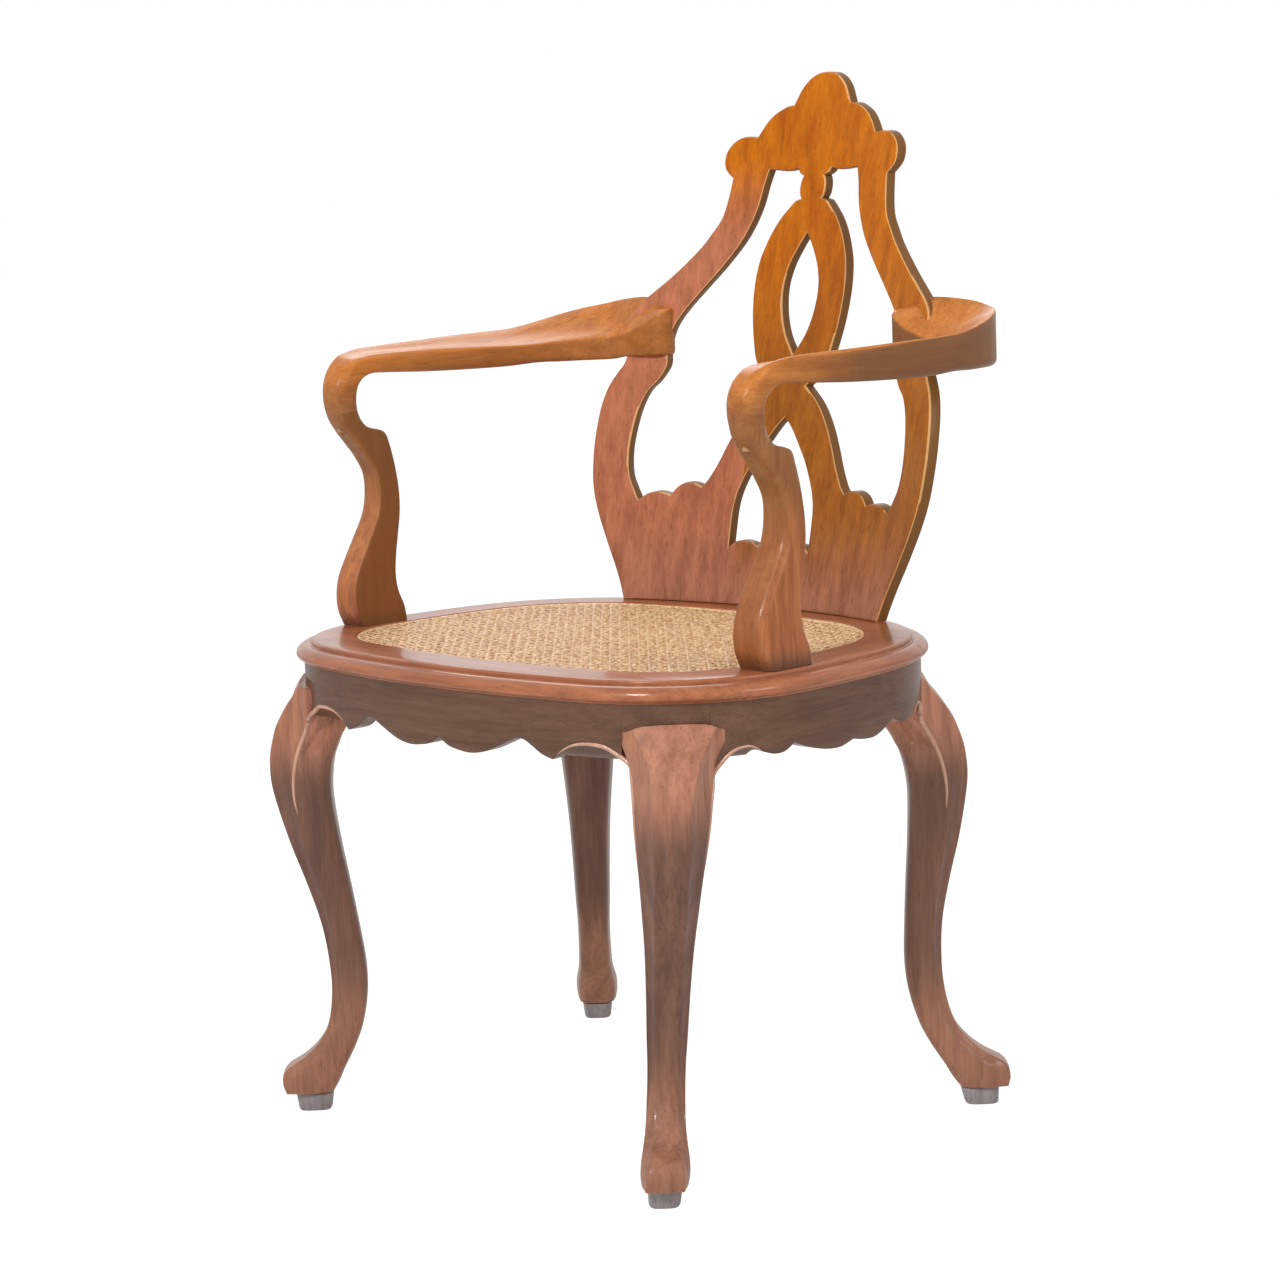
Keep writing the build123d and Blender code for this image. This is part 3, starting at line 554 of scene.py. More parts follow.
# %% Wood colours
GREY_BROWN = ((0.17, 0.085, 0.05), (0.1, 0.045, 0.025))
RED_BROWN = ((0.5, 0.172, 0.072), (0.28, 0.085, 0.032))
PINK = ((0.6, 0.21, 0.105), (0.34, 0.11, 0.055))
GOLD = ((0.66, 0.19, 0.002), (0.4, 0.092, 0.001))
SAWN_AND_SHADED = (0.2, 0.088, 0.025)
RUBBED_AND_HIGHLIT = (0.85, 0.5, 0.22)
LEFT_LOW = (0.8, 0.9, *PINK)
RIGHT_LOW = (0.62, 0.86, (0.46, 0.15, 0.014), (0.26, 0.075, 0.006))
BASE_LOW = (0.45, 0.56, (0.5, 0.205, 0.115), (0.27, 0.105, 0.055))
# The first two bands are painted light and shade: the knee and the foot lighter where the lamps reach
# them, the middle of the leg darker. The last is the grey pad's own colour.
leg_shade_and_pad_bands = (
    (0.31, 0.37, (0.24, 0.11, 0.07), (0.12, 0.055, 0.038)),
    (0.06, 0.16, (0.42, 0.19, 0.11), (0.22, 0.09, 0.05)),
    (0.0165, 0.019, (0.36, 0.32, 0.31), (0.2, 0.17, 0.165)),
)
arm_bands = ((0.665, 0.712, (0.42, 0.18, 0.065), (0.25, 0.093, 0.032)),)
post_bands = (
    (0.55, 0.62, (0.56, 0.21, 0.075), (0.32, 0.1, 0.034)),
    (0.47, 0.54, (0.58, 0.2, 0.075), (0.28, 0.09, 0.035)),
    (0.452, 0.475, (0.2, 0.09, 0.05), (0.08, 0.035, 0.02)),
)
leg_wood = wood("leg_wood", (0.54, 0.24, 0.14), (0.3, 0.12, 0.07), bands=leg_shade_and_pad_bands)
block_wood = wood("block_wood", *GREY_BROWN, ALONG_X)
# The lips' pale colour is a painted highlight along them.
lip_highlight_wood = wood("lip_highlight_wood", (0.68, 0.38, 0.26), (0.46, 0.24, 0.16), coat=0.6)
apron_wood = wood("apron_wood", *GREY_BROWN, ALONG_X)
side_apron_wood = wood("side_apron_wood", *GREY_BROWN, ALONG_Y)
rail_wood = wood("rail_wood", *RED_BROWN, ALONG_X, coat=0.4)
side_rail_wood = wood("side_rail_wood", *RED_BROWN, ALONG_Y, coat=0.4)
# The sawn colour of the arms and posts is painted shade on their faces that turn from the light.
arm_wood = wood("arm_wood", (0.72, 0.26, 0.055), (0.45, 0.135, 0.022), ALONG_Y, coat=0.08,
                gloss=0.13, bands=arm_bands, sawn_and_shaded=(0.13, 0.062, 0.03), rubbed_and_highlit=(0.75, 0.4, 0.2))
post_wood = wood("post_wood", (0.4, 0.175, 0.06), (0.24, 0.09, 0.03), coat=0.1, gloss=0.13,
                 bands=post_bands, sawn_and_shaded=(0.2, 0.08, 0.024), rubbed_and_highlit=(0.7, 0.36, 0.18))
# On the boards the sawn colour is partly the edges' own stain and partly painted shade; the rubbed
# colour is partly wear and partly a painted highlight.
plain = {"coat": 0.07, "gloss": 0.1, "sawn_and_shaded": SAWN_AND_SHADED, "rubbed_and_highlit": RUBBED_AND_HIGHLIT}
board_wood = wood("board_wood", *GOLD, bands=(LEFT_LOW, BASE_LOW), **plain)
right_board_wood = wood("right_board_wood", *GOLD, bands=(RIGHT_LOW, BASE_LOW), **plain)
splat_wood = wood("splat_wood", *GOLD, shift=(0.3, 0.2, 0.5), bands=(RIGHT_LOW,), **plain)
base_wood = wood("base_wood", (0.4, 0.125, 0.02), (0.2, 0.06, 0.008), shift=(0.8, 0.1, 0.2),
                 bands=(BASE_LOW,), **plain)
print("materials:", len(bpy.data.materials))

# %% [markdown]
# ## Dressing a piece
# A finished mesh needs a material and a body to ride on, and the solids of the frame that it stands
# for are hidden.
# The chair has no moving part, so there is one body for everything.

# %% Dressing a piece
def dress(obj, material, *replaced, slot="wood"):
    """Gives a finished piece its material and its body, and hides the frame's nodes that it stands
    for.
    """
    obj.data.materials.clear()
    obj.data.materials.append(material)
    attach(obj, "root")
    if replaced:
        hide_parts(*replaced)


print("pieces ride on the body root")

# %% [markdown]
# ## The back
# The back is sawn from boards glued edge to edge with upright grain, then curved to the sitter,
# leaned back and rounded along every edge. Its outline is drawn once, for the half at +X, as
# smooth curves that meet at the carved notches. The faces are filled between the outline and a
# grid of points, so the flat pattern can be bent.

# %% Outline of the back
BACK_Y = SEAT_Y + 203.8
BACK_RAKE = math.tan(math.radians(12.78))
BACK_CURVE = 553.0
BOARD = 13.0
BOARD_ROUND = 2.6

outer_curves = [
    [(0, 974), (10, 973), (20, 968), (28, 960), (32.5, 952), (37, 943)],
    [(37, 943), (45, 942), (55, 937.5), (63, 932), (70, 924), (77, 913)],
    [(77, 913), (90, 914), (100, 911.5), (108, 905), (112.5, 896), (112, 885), (107, 878), (101, 873)],
    [(101, 873), (102.5, 860), (105, 845), (109, 832), (117, 820), (125, 809), (134, 799),
     (145, 788), (158, 776), (170, 766), (183, 755), (191, 746), (194, 738)],
    [(194, 738), (194.5, 712), (197, 692), (203, 682), (210, 670), (214.5, 657), (217.5, 640),
     (219, 610), (217, 580), (213, 560), (206, 540), (198.5, 523), (190, 505), (180.5, 486),
     (173.5, 470), (168, 455)],
]
window_curves = [
    [(57, 880), (61, 865), (65, 845), (72, 826), (82, 808), (100, 785), (118, 765), (137, 743),
     (148, 725), (152, 705)],
    [(152, 705), (150, 688), (158, 673), (168, 662), (175, 645), (179, 622), (180, 600),
     (177, 580), (171, 567), (164, 555)],
    [(164, 555), (154, 561), (142, 563), (129, 560)],
    [(129, 560), (122, 568), (112, 572.5), (102, 572), (94, 569)],
    [(94, 569), (87.5, 576), (78, 592), (68.5, 612), (57.5, 632), (42.5, 652), (23, 669)],
    [(23, 669), (36, 680), (46.5, 693), (52, 710), (56.5, 730), (59, 750), (59.5, 770), (57, 790),
     (52, 805), (45.5, 819), (37, 832), (28, 842), (21, 849)],
    [(21, 849), (14, 851)],
    [(14, 851), (16.2, 855), (17, 862), (16, 869), (14, 873)],
    [(14, 873), (19, 875.5), (22, 880)],
    [(22, 880), (34, 878), (46, 879), (57, 880)],
]
upper_eye = [[(0, 817), (9, 803), (18, 785), (22.5, 765), (20.5, 742), (13, 720), (0, 700)]]
lower_eye = [
    [(0, 638), (10, 628), (22, 612), (32, 598), (42, 580), (49, 563), (52, 545), (52, 511)],
    [(52, 511), (47, 515.5), (36, 518), (24, 516.5), (16, 513)],
    [(16, 513), (8, 516), (0, 517)],
]

OUTLINE_STEP = 3.0
FOOT_HALF = 168
FOOT_STEPS = 60


def chain(curves, step):
    """One run of points through curves that share their end points."""
    run = []
    for curve in curves:
        run += spline_points(curve, step)[:-1]
    run.append(Vector(curves[-1][-1]))
    return run


def mirrored(run):
    """The same run on the other half, in the opposite order."""
    return [Vector((-p.x, p.y)) for p in reversed(run)]


def whole(half):
    """A half run that starts and ends on the middle line, closed by its mirror."""
    return half + mirrored(half)[1:-1]


right_edge = chain(outer_curves, OUTLINE_STEP)
foot_line = [Vector((FOOT_HALF - 2 * FOOT_HALF * i / FOOT_STEPS, SEAT_TOP))
             for i in range(1, FOOT_STEPS)]
back_outer = right_edge + foot_line + mirrored(right_edge)[:-1]
window = chain(window_curves, OUTLINE_STEP)[:-1]
back_holes = [window, mirrored(window), whole(chain(upper_eye, OUTLINE_STEP)),
              whole(chain(lower_eye, OUTLINE_STEP))]
print("outline points:", len(back_outer), [len(hole) for hole in back_holes])

# %% [markdown]
# ## One blank for the back
# The back is sawn out flat and curved round the sitter. A flat outline with its holes is filled
# with small triangles first, so that it can follow the bend, and then gets its thickness and a
# small round along each edge where hand tools broke the corner. These helpers work on the flat
# pattern: which way a loop runs, how to move it into the wood, and whether a point is inside.

# %% Helpers for the flat pattern
NO_LENGTH = 1e-6
LEAST_LEAN = 0.6


def area(loop):
    """Area of a closed loop, positive when it runs anticlockwise."""
    return sum(a.x * b.y - b.x * a.y for a, b in zip(loop, loop[1:] + loop[:1])) / 2


def inset(loop, amount):
    """Closed loop moved into the wood by an amount. The wood lies on the loop's left."""
    moved = []
    n = len(loop)
    for i, p in enumerate(loop):
        before = (p - loop[i - 1]).normalized()
        after = (loop[(i + 1) % n] - p).normalized()
        square = Vector((-after.y, after.x))
        normal = Vector((-before.y, before.x)) + square
        if normal.length < NO_LENGTH:
            normal = square.copy()
        normal.normalize()
        lean = max(normal.dot(square), LEAST_LEAN)
        moved.append(p + normal * (amount / lean))
    return moved


def inside(p, loop):
    """Whether a point lies inside a closed loop."""
    hit = False
    for a, b in zip(loop, loop[1:] + loop[:1]):
        if (a.y > p.y) != (b.y > p.y) and p.x < (b.x - a.x) * (p.y - a.y) / (b.y - a.y) + a.x:
            hit = not hit
    return hit


def near(p, loops, gap):
    """Whether a point is closer to any point of some loops than a gap."""
    return any((q - p).length_squared < gap * gap for loop in loops for q in loop)


print("area of the back's outline:", round(area(back_outer) / 100), "square centimetres")

# %% [markdown]
# ## Filling and bending
# Each loop becomes a band of quads that rounds both edges. The flat faces between the bands are
# filled with triangles on a grid of points, once for the front and once for the rear.

# %% Filling and bending the back
CELL = 9.0
GRID_GAP = CELL * 0.45
ARC_STEPS = 4
WHOLE_HULL = 0
SAME_POINT = 1e-5


def slab(name, outer, holes, thickness, rounding, bend):
    """Flat pattern with holes, rounded along every edge and bent into place."""
    loops = [outer if area(outer) > 0 else outer[::-1]]
    loops += [hole if area(hole) < 0 else hole[::-1] for hole in holes]
    rings = []
    for k in range(ARC_STEPS, -1, -1):
        angle = math.pi / 2 * k / ARC_STEPS
        rings.append((rounding * (1 - math.cos(angle)), rounding * (1 - math.sin(angle))))
    rings += [(amount, thickness - depth) for amount, depth in reversed(rings)]
    points, faces = [], []
    rims, rim_edges, pairs_on_rim = [], [], []
    for loop in loops:
        n = len(loop)
        start = len(points)
        for amount, depth in rings:
            points += [(p.x, p.y, depth) for p in inset(loop, amount)]
        last = len(points) - n
        for a in range(start, last, n):
            b = a + n
            for i in range(n):
                j = (i + 1) % n
                faces.append((a + i, b + i, b + j, a + j))
        first = len(pairs_on_rim)
        rims.append([Vector(points[start + i][:2]) for i in range(n)])
        rim_edges += [(first + i, first + (i + 1) % n) for i in range(n)]
        pairs_on_rim += [(start + i, last + i) for i in range(n)]

    def in_wood(p):
        return inside(p, rims[0]) and not any(inside(p, rim) for rim in rims[1:])

    flat = [p for rim in rims for p in rim]
    left, right = min(p.x for p in flat), max(p.x for p in flat)
    low, high = min(p.y for p in flat), max(p.y for p in flat)
    grid = []
    for i in range(int((right - left) / CELL) + 1):
        for j in range(int((high - low) / CELL) + 1):
            p = Vector((left + (i + 0.5) * CELL, low + (j + 0.5) * CELL))
            if in_wood(p) and not near(p, rims, GRID_GAP):
                grid.append(p)
    verts, _, triangles, origin, _, _ = delaunay_2d_cdt(
        flat + grid, rim_edges, [], WHOLE_HULL, SAME_POINT)
    pairs = []
    for v, sources in zip(verts, origin):
        on_rim = [k for k in sources if k < len(flat)]
        if on_rim:
            pairs.append(pairs_on_rim[on_rim[0]])
        else:
            pairs.append((len(points), len(points) + 1))
            points += [(v.x, v.y, 0.0), (v.x, v.y, thickness)]
    for triangle in triangles:
        middle = (verts[triangle[0]] + verts[triangle[1]] + verts[triangle[2]]) / 3
        if in_wood(middle):
            faces.append(tuple(pairs[i][0] for i in triangle))
            faces.append(tuple(pairs[i][1] for i in reversed(triangle)))
    return piece(name, [bend(*p) for p in points], faces)


def back_place(x, z, depth):
    """Point on the curved and raked back, depth behind its front surface."""
    y = BACK_Y - x * x / (2 * BACK_CURVE) + (z - SEAT_TOP) * BACK_RAKE
    return (x + depth * x / BACK_CURVE, y + depth, z)


back = tidy(slab("back_whole", back_outer, back_holes, BOARD, BOARD_ROUND, back_place), sharp=50)
print("back:", len(back.data.polygons), "faces")

# %% [markdown]
# ## Cutting a blank apart
# A joiner saws a blank along its seams. A plane does the same to a mesh: it keeps what lies in
# front and closes the cut. A board can still hold separate lumps, so another helper keeps only
# the lumps of a wanted height.

# %% Saw cuts
SHARP_CUT = math.radians(50)


def copy_of(source, name):
    """Copy of a piece with a mesh of its own."""
    mesh = source.data.copy()
    mesh.name = name
    return new_object(name, mesh)


def cut(source, name, planes):
    """Copy of a piece kept in front of each plane (point, normal in metres) and closed there."""
    obj = copy_of(source, name)
    bm = bmesh.new()
    bm.from_mesh(obj.data)
    for point, normal in planes:
        geometry = bm.verts[:] + bm.edges[:] + bm.faces[:]
        result = bmesh.ops.bisect_plane(bm, geom=geometry, dist=TINY, plane_co=point,
                                        plane_no=normal, clear_inner=True)
        rim = [e for e in result["geom_cut"] if isinstance(e, bmesh.types.BMEdge)]
        bmesh.ops.holes_fill(bm, edges=rim)
    for edge in bm.edges:
        if edge.calc_face_angle(0.0) > SHARP_CUT:
            edge.smooth = False
    bm.to_mesh(obj.data)
    bm.free()
    return obj


def keep_lumps(source, name, wanted):
    """Copy of a piece with only the separate lumps whose lowest and highest points are wanted."""
    obj = copy_of(source, name)
    bm = bmesh.new()
    bm.from_mesh(obj.data)
    reached = set()
    drop = []
    for vert in bm.verts:
        if vert in reached:
            continue
        lump, queue = [], [vert]
        reached.add(vert)
        while queue:
            v = queue.pop()
            lump.append(v)
            for edge in v.link_edges:
                other = edge.other_vert(v)
                if other not in reached:
                    reached.add(other)
                    queue.append(other)
        heights = [v.co.z for v in lump]
        if not wanted(min(heights), max(heights)):
            drop += lump
    bmesh.ops.delete(bm, geom=drop, context="VERTS")
    bm.to_mesh(obj.data)
    bm.free()
    return obj


print("the blank has", len(back.data.vertices), "points before it is cut")

# %% [markdown]
# ## Boards of the back
# Wide stock is glued up from narrow boards, and here they were never stained to match. The blank
# is cut by planes along the seams, so that each board gets its own colour and grain. The board at
# the sitter's left is the one at the right of the picture.

# %% Boards of the back
SEAM = 0.044
STRIP_HEIGHT = 0.25
BASE_TOP = 0.56
BOARD_FRONT = Vector((0, 0.976, -0.219))

LEFT_OF_SPLAT = ((SEAM, 0, 0), (1, 0, 0))
RIGHT_OF_SPLAT = ((-SEAM, 0, 0), (-1, 0, 0))
MIDDLE = [((-SEAM, 0, 0), (1, 0, 0)), ((SEAM, 0, 0), (-1, 0, 0))]
blanks = {
    "left": cut(back, "board_left_all", [LEFT_OF_SPLAT]),
    "right": cut(back, "board_right_all", [RIGHT_OF_SPLAT]),
    "centre": cut(back, "board_centre_all", MIDDLE),
}


def is_strip(low, high):
    """The short straps beside the splat, cut from the same board as the stile."""
    return high - low < STRIP_HEIGHT


def is_board(low, high):
    return not is_strip(low, high)


def is_base(low, high):
    return high < BASE_TOP


def is_splat(low, high):
    return not is_base(low, high)


back_parts = [
    ("board_left", "left", is_board, right_board_wood),
    ("strip_left", "left", is_strip, splat_wood),
    ("board_right", "right", is_board, board_wood),
    ("strip_right", "right", is_strip, splat_wood),
    ("splat", "centre", is_splat, splat_wood),
    ("base", "centre", is_base, base_wood),
]
for name, blank, wanted, finish in back_parts:
    part = keep_lumps(blanks[blank], name, wanted)
    marks(part, BOARD_FRONT)
    dress(part, finish, f"back_{name}")
for spare in [back, *blanks.values()]:
    bpy.data.objects.remove(spare)
print("parts of the back:", len(back_parts))

# %% [markdown]
# ## The seat frame
# Seen from above the frame is four shallow bows joined by round corners. The same line carries
# the moulded rails, the reed, the cane and the aprons, so it is worked out once, with the way
# outward at each point. A section swept along it makes the rails.

# %% The seat's line
HALF_DEPTH = 219.5
HALF_WIDTH = 288.5
WIDEST_Y = -69.0
FRONT_BOW, REAR_BOW, SIDE_BOW = 940.0, 797.0, 780.0
FRONT_CORNER, REAR_CORNER = 144.0, 178.0
LINE_STEP = 4.0


def meet(centre_a, radius_a, centre_b, radius_b, want):
    """Where two circles cross, on the side that lies nearest a wanted point."""
    d = (centre_b - centre_a).length
    a = (radius_a**2 - radius_b**2 + d * d) / (2 * d)
    h = math.sqrt(radius_a**2 - a * a)
    along = (centre_b - centre_a) / d
    foot = centre_a + along * a
    side = Vector((-along.y, along.x)) * h
    return min((foot + side, foot - side), key=lambda p: (p - want).length)


def seat_line():
    """Points on the ridge round the seat and the way outward at each, from the front middle."""
    front = Vector((0, FRONT_BOW - HALF_DEPTH))
    rear = Vector((0, HALF_DEPTH - REAR_BOW))
    side = Vector((HALF_WIDTH - SIDE_BOW, WIDEST_Y))
    front_corner = meet(front, FRONT_BOW - FRONT_CORNER, side, SIDE_BOW - FRONT_CORNER,
                        Vector((150, -90)))
    rear_corner = meet(rear, REAR_BOW - REAR_CORNER, side, SIDE_BOW - REAR_CORNER,
                       Vector((110, 40)))
    arcs = [(front, FRONT_BOW), (front_corner, FRONT_CORNER), (side, SIDE_BOW),
            (rear_corner, REAR_CORNER), (rear, REAR_BOW)]
    turns = [Vector((0, -1)), (front_corner - front).normalized(),
             (front_corner - side).normalized(), (rear_corner - side).normalized(),
             (rear_corner - rear).normalized(), Vector((0, 1))]
    half = []
    for (centre, radius), first, last in zip(arcs, turns, turns[1:]):
        a0 = math.atan2(first.y, first.x)
        a1 = math.atan2(last.y, last.x)
        count = max(3, round(abs(a1 - a0) * radius / LINE_STEP))
        for i in range(count):
            a = a0 + (a1 - a0) * i / count
            out = Vector((math.cos(a), math.sin(a)))
            half.append((centre + out * radius, out))
    half.append((Vector((0, HALF_DEPTH)), Vector((0, 1))))
    other = [(Vector((-p.x, p.y)), Vector((-o.x, o.y))) for p, o in reversed(half[1:-1])]
    return [(Vector((p.x, p.y + SEAT_Y)), o) for p, o in half + other]


def off_line(p, out, reach, z):
    """Point at a height and at a reach outward from a point of the seat's line."""
    return (p.x + out.x * reach, p.y + out.y * reach, z)


line = seat_line()
print("seat line:", len(line), "points,", round(max(p.x for p, _ in line) * 2), "mm wide")

# %% [markdown]
# ## Seat rails
# Four curved rails carry one moulding all the way round, cut with a shaped cutter after they
# were joined. One profile is swept along the seat's line and cut apart at the joints.

# %% Seat rails
FRONT_JOINT = (SEAT_Y - 126) / METRE
REAR_JOINT = (SEAT_Y + 112) / METRE

# Outward from the ridge, and height: the seat's inner edge first, then the groove and the roll.
rail_section = [
    (-59, 435), (-59, 452), (-47, 452), (-47, 450), (-43, 450), (-43, 454.2), (-42.2, 455),
    (-30, 455), (-16, 455), (-8, 454.8), (-3, 454.5), (-1, 454.1), (-0.2, 453.4), (0, 452.4),
    (0.1, 449.9), (0.9, 449.1), (2, 449.5), (4, 450.1), (6.5, 450.1), (9.6, 449.2),
    (12.4, 447.2), (14.3, 444.8), (15, 442.4), (14.7, 440.2), (13.4, 438.4), (11.6, 437.2),
    (9.6, 436.6), (8.6, 435.9), (8.2, 435), (-20, 435),
]


def sweep_ring(name, section):
    """A closed section (outward, height) carried round the seat's line."""
    rows = [[off_line(p, out, reach, z) for reach, z in section] for p, out in line]
    points, faces = loft(rows + [rows[0]], caps=False)
    return tidy(piece(name, points, faces), sharp=38)


ring = sweep_ring("rail_ring", rail_section)
between_joints = [((0, FRONT_JOINT, 0), (0, 1, 0)), ((0, REAR_JOINT, 0), (0, -1, 0))]
rails = {
    "front": ([((0, FRONT_JOINT, 0), (0, -1, 0))], rail_wood),
    "rear": ([((0, REAR_JOINT, 0), (0, 1, 0))], rail_wood),
    "left": (between_joints + [((0, 0, 0), (1, 0, 0))], side_rail_wood),
    "right": (between_joints + [((0, 0, 0), (-1, 0, 0))], side_rail_wood),
}
for side, (planes, finish) in rails.items():
    dress(cut(ring, f"rail_{side}", planes), finish, f"seat_rail_{side}")
bpy.data.objects.remove(ring)
print("rails:", len(rails), "with", len(rail_section), "points in their section")

# %% [markdown]
# ## Cane and reed
# The seat is real rattan bark, woven on a machine. A reed hammered into a groove holds the sheet.
# Both wear one finish, whose colour wanders between pale and brown as the bark's does. The reed
# follows the seat's line, so it is one more swept section.

# %% Reed
def cane():
    """Pale rattan bark with a soft sheen."""
    material, tree, shader, place = new_finish("cane_finish")
    tone = ramp(tree, noise(tree, place, 260, 2, EVEN), 0.36, 0.64)
    colour = blend(tree, tone, (0.62, 0.32, 0.14, 1), (1.0, 0.76, 0.46, 1))
    feed(tree, shader, {"Base Color": colour, "Roughness": 0.35})
    return material


cane_finish = cane()
reed_section = [(-46.9, 450.4), (-46.9, 453.4), (-46.3, 454.2), (-45, 454.5), (-43.7, 454.2),
                (-43.1, 453.4), (-43.1, 450.4)]
reed = sweep_ring("reed", reed_section)
dress(reed, cane_finish, "cane_spline", slot="cane")
print("reed:", len(reed.data.polygons), "faces")

# %% [markdown]
# ## A tree that weaves
# Machine cane repeats about every half inch: pairs of strands run both ways and single strands
# cross them on both diagonals, which leaves eight-sided holes. It could be a picture on a flat
# sheet, but then the holes would not be open. Here a node tree lays lines of curves, waves them
# over and under, keeps what lies over the seat's opening, and gives them a flat strand's section.
# Geometry Nodes suit it, because the strands are the same strip again and again.

# %% Weave tree
CANE_PITCH = 0.0122
CANE_Z = 0.4526
STRAND_WIDTH = 0.0021
STRAND_DEPTH = 0.0005
STRAND_REACH = 0.42
WAVE = 0.0007
PAIR = 0.17

weave, w_in, w_out = node_group("cane_weave", "GeometryNodeTree", (
    ("Opening", "Geometry", None),
    ("Pitch", "Float", CANE_PITCH),
    ("Strand Width", "Float", STRAND_WIDTH),
    ("Wave", "Float", WAVE),
    ("Finish", "Material", None),
), (("Sheet", "Geometry"),))
weave.is_modifier = True
joined = add_node(weave, "GeometryNodeJoinGeometry")


def vector_of(x, y, z):
    """Vector of three numbers, each typed or made by the tree."""
    return add_node(weave, "ShaderNodeCombineXYZ", {"X": x, "Y": y, "Z": z}).outputs[0]


def lay(angle, spacing, shift, lift, phase, count):
    """Parallel waved strands at one angle; spacing and shift are shares of the pitch."""
    gap = maths(weave, "MULTIPLY", w_in["Pitch"], spacing)
    start = maths(weave, "ADD", maths(weave, "MULTIPLY", gap, -count / 2),
                  maths(weave, "MULTIPLY", w_in["Pitch"], shift))
    row = add_node(weave, "GeometryNodeMeshLine",
                   {"Count": count, "Start Location": vector_of(0.0, start, 0.0),
                    "Offset": vector_of(0.0, gap, 0.0)}, mode="OFFSET")
    strand = add_node(weave, "GeometryNodeCurvePrimitiveLine",
                      {"Start": (-STRAND_REACH, 0, 0), "End": (STRAND_REACH, 0, 0)})
    step_size = maths(weave, "MULTIPLY", w_in["Pitch"], spacing / 2)
    cut_up = add_node(weave, "GeometryNodeResampleCurve",
                      {"Curve": strand.outputs[0], "Length": step_size}, mode="LENGTH")
    copies = add_node(weave, "GeometryNodeInstanceOnPoints",
                      {"Points": row.outputs[0], "Instance": cut_up.outputs[0]})
    real = add_node(weave, "GeometryNodeRealizeInstances", {0: copies.outputs[0]})
    here = add_node(weave, "GeometryNodeInputPosition")
    split = add_node(weave, "ShaderNodeSeparateXYZ", {0: here.outputs[0]})
    steps_along = maths(weave, "DIVIDE", split.outputs["X"], step_size)
    rows_up = maths(weave, "DIVIDE", split.outputs["Y"], gap)
    turns = maths(weave, "ADD", steps_along, maths(weave, "ADD", rows_up, phase))
    swing = maths(weave, "COSINE", maths(weave, "MULTIPLY", turns, math.pi))
    height = maths(weave, "ADD", maths(weave, "MULTIPLY", swing, w_in["Wave"]), lift)
    waved = add_node(weave, "GeometryNodeSetPosition",
                     {"Geometry": real.outputs[0], "Offset": vector_of(0.0, 0.0, height)})
    turned = add_node(weave, "GeometryNodeTransform",
                      {"Geometry": waved.outputs[0], "Rotation": (0, 0, math.radians(angle)),
                       "Translation": (0, SEAT_Y / METRE, CANE_Z)})
    feed(weave, joined, {0: turned.outputs[0]})


# Of each set: angle, spacing, shift, lift, phase of the wave, number of strands.
strand_sets = [
    (0, 1.0, -PAIR, -0.0002, 0.0, 60),
    (90, 1.0, -PAIR, 0.0, 1.0, 60),
    (0, 1.0, PAIR, -0.0002, 0.0, 60),
    (90, 1.0, PAIR, 0.0, 1.0, 60),
    (45, DIAGONAL, DIAGONAL / 2, 0.0007, 0.0, 80),
    (-45, DIAGONAL, DIAGONAL / 2, 0.00042, 1.0, 80),
]
for strand_set in strand_sets:
    lay(*strand_set)
print("weave:", len(strand_sets), "sets of strands,", len(weave.nodes), "nodes")

# %% [markdown]
# ## Trimming the weave
# Cane is woven past the opening and cut off at the groove. Rays cast down on a sheet of the
# opening's shape tell which strand points to keep, and a flat profile gives the split cane.

# %% Trimming and thickening
RAY_START = 0.05

here = add_node(weave, "GeometryNodeInputPosition")
above = add_node(weave, "ShaderNodeVectorMath", {0: here.outputs[0], 1: (0, 0, RAY_START)},
                 operation="ADD")
ray = add_node(weave, "GeometryNodeRaycast",
               {"Target Geometry": w_in["Opening"], "Source Position": above.outputs[0],
                "Ray Direction": (0, 0, -1)})
missed = add_node(weave, "FunctionNodeBooleanMath", {0: ray.outputs["Is Hit"]}, operation="NOT")
kept = add_node(weave, "GeometryNodeDeleteGeometry",
                {"Geometry": joined.outputs[0], "Selection": missed.outputs[0]}, domain="POINT")
level_strands = add_node(weave, "GeometryNodeSetCurveNormal", {"Curve": kept.outputs[0]},
                         mode="Z_UP")
profile = add_node(weave, "GeometryNodeCurvePrimitiveQuadrilateral",
                   {"Width": w_in["Strand Width"], "Height": STRAND_DEPTH})
thick = add_node(weave, "GeometryNodeCurveToMesh",
                 {"Curve": level_strands.outputs[0], "Profile Curve": profile.outputs[0],
                  "Fill Caps": True})
done = add_node(weave, "GeometryNodeRealizeInstances", {0: thick.outputs[0]})
coated = add_node(weave, "GeometryNodeSetMaterial",
                  {"Geometry": done.outputs[0], "Material": w_in["Finish"]})
feed(weave, w_out, {"Sheet": coated.outputs[0]})
print("weave nodes with trimming:", len(weave.nodes))

# %% [markdown]
# ## The woven sheet
# The tree runs once on the opening's outline. Its result is kept as a plain mesh, like any other
# piece.

# %% Weaving the sheet
OPENING_INSET = 46.2

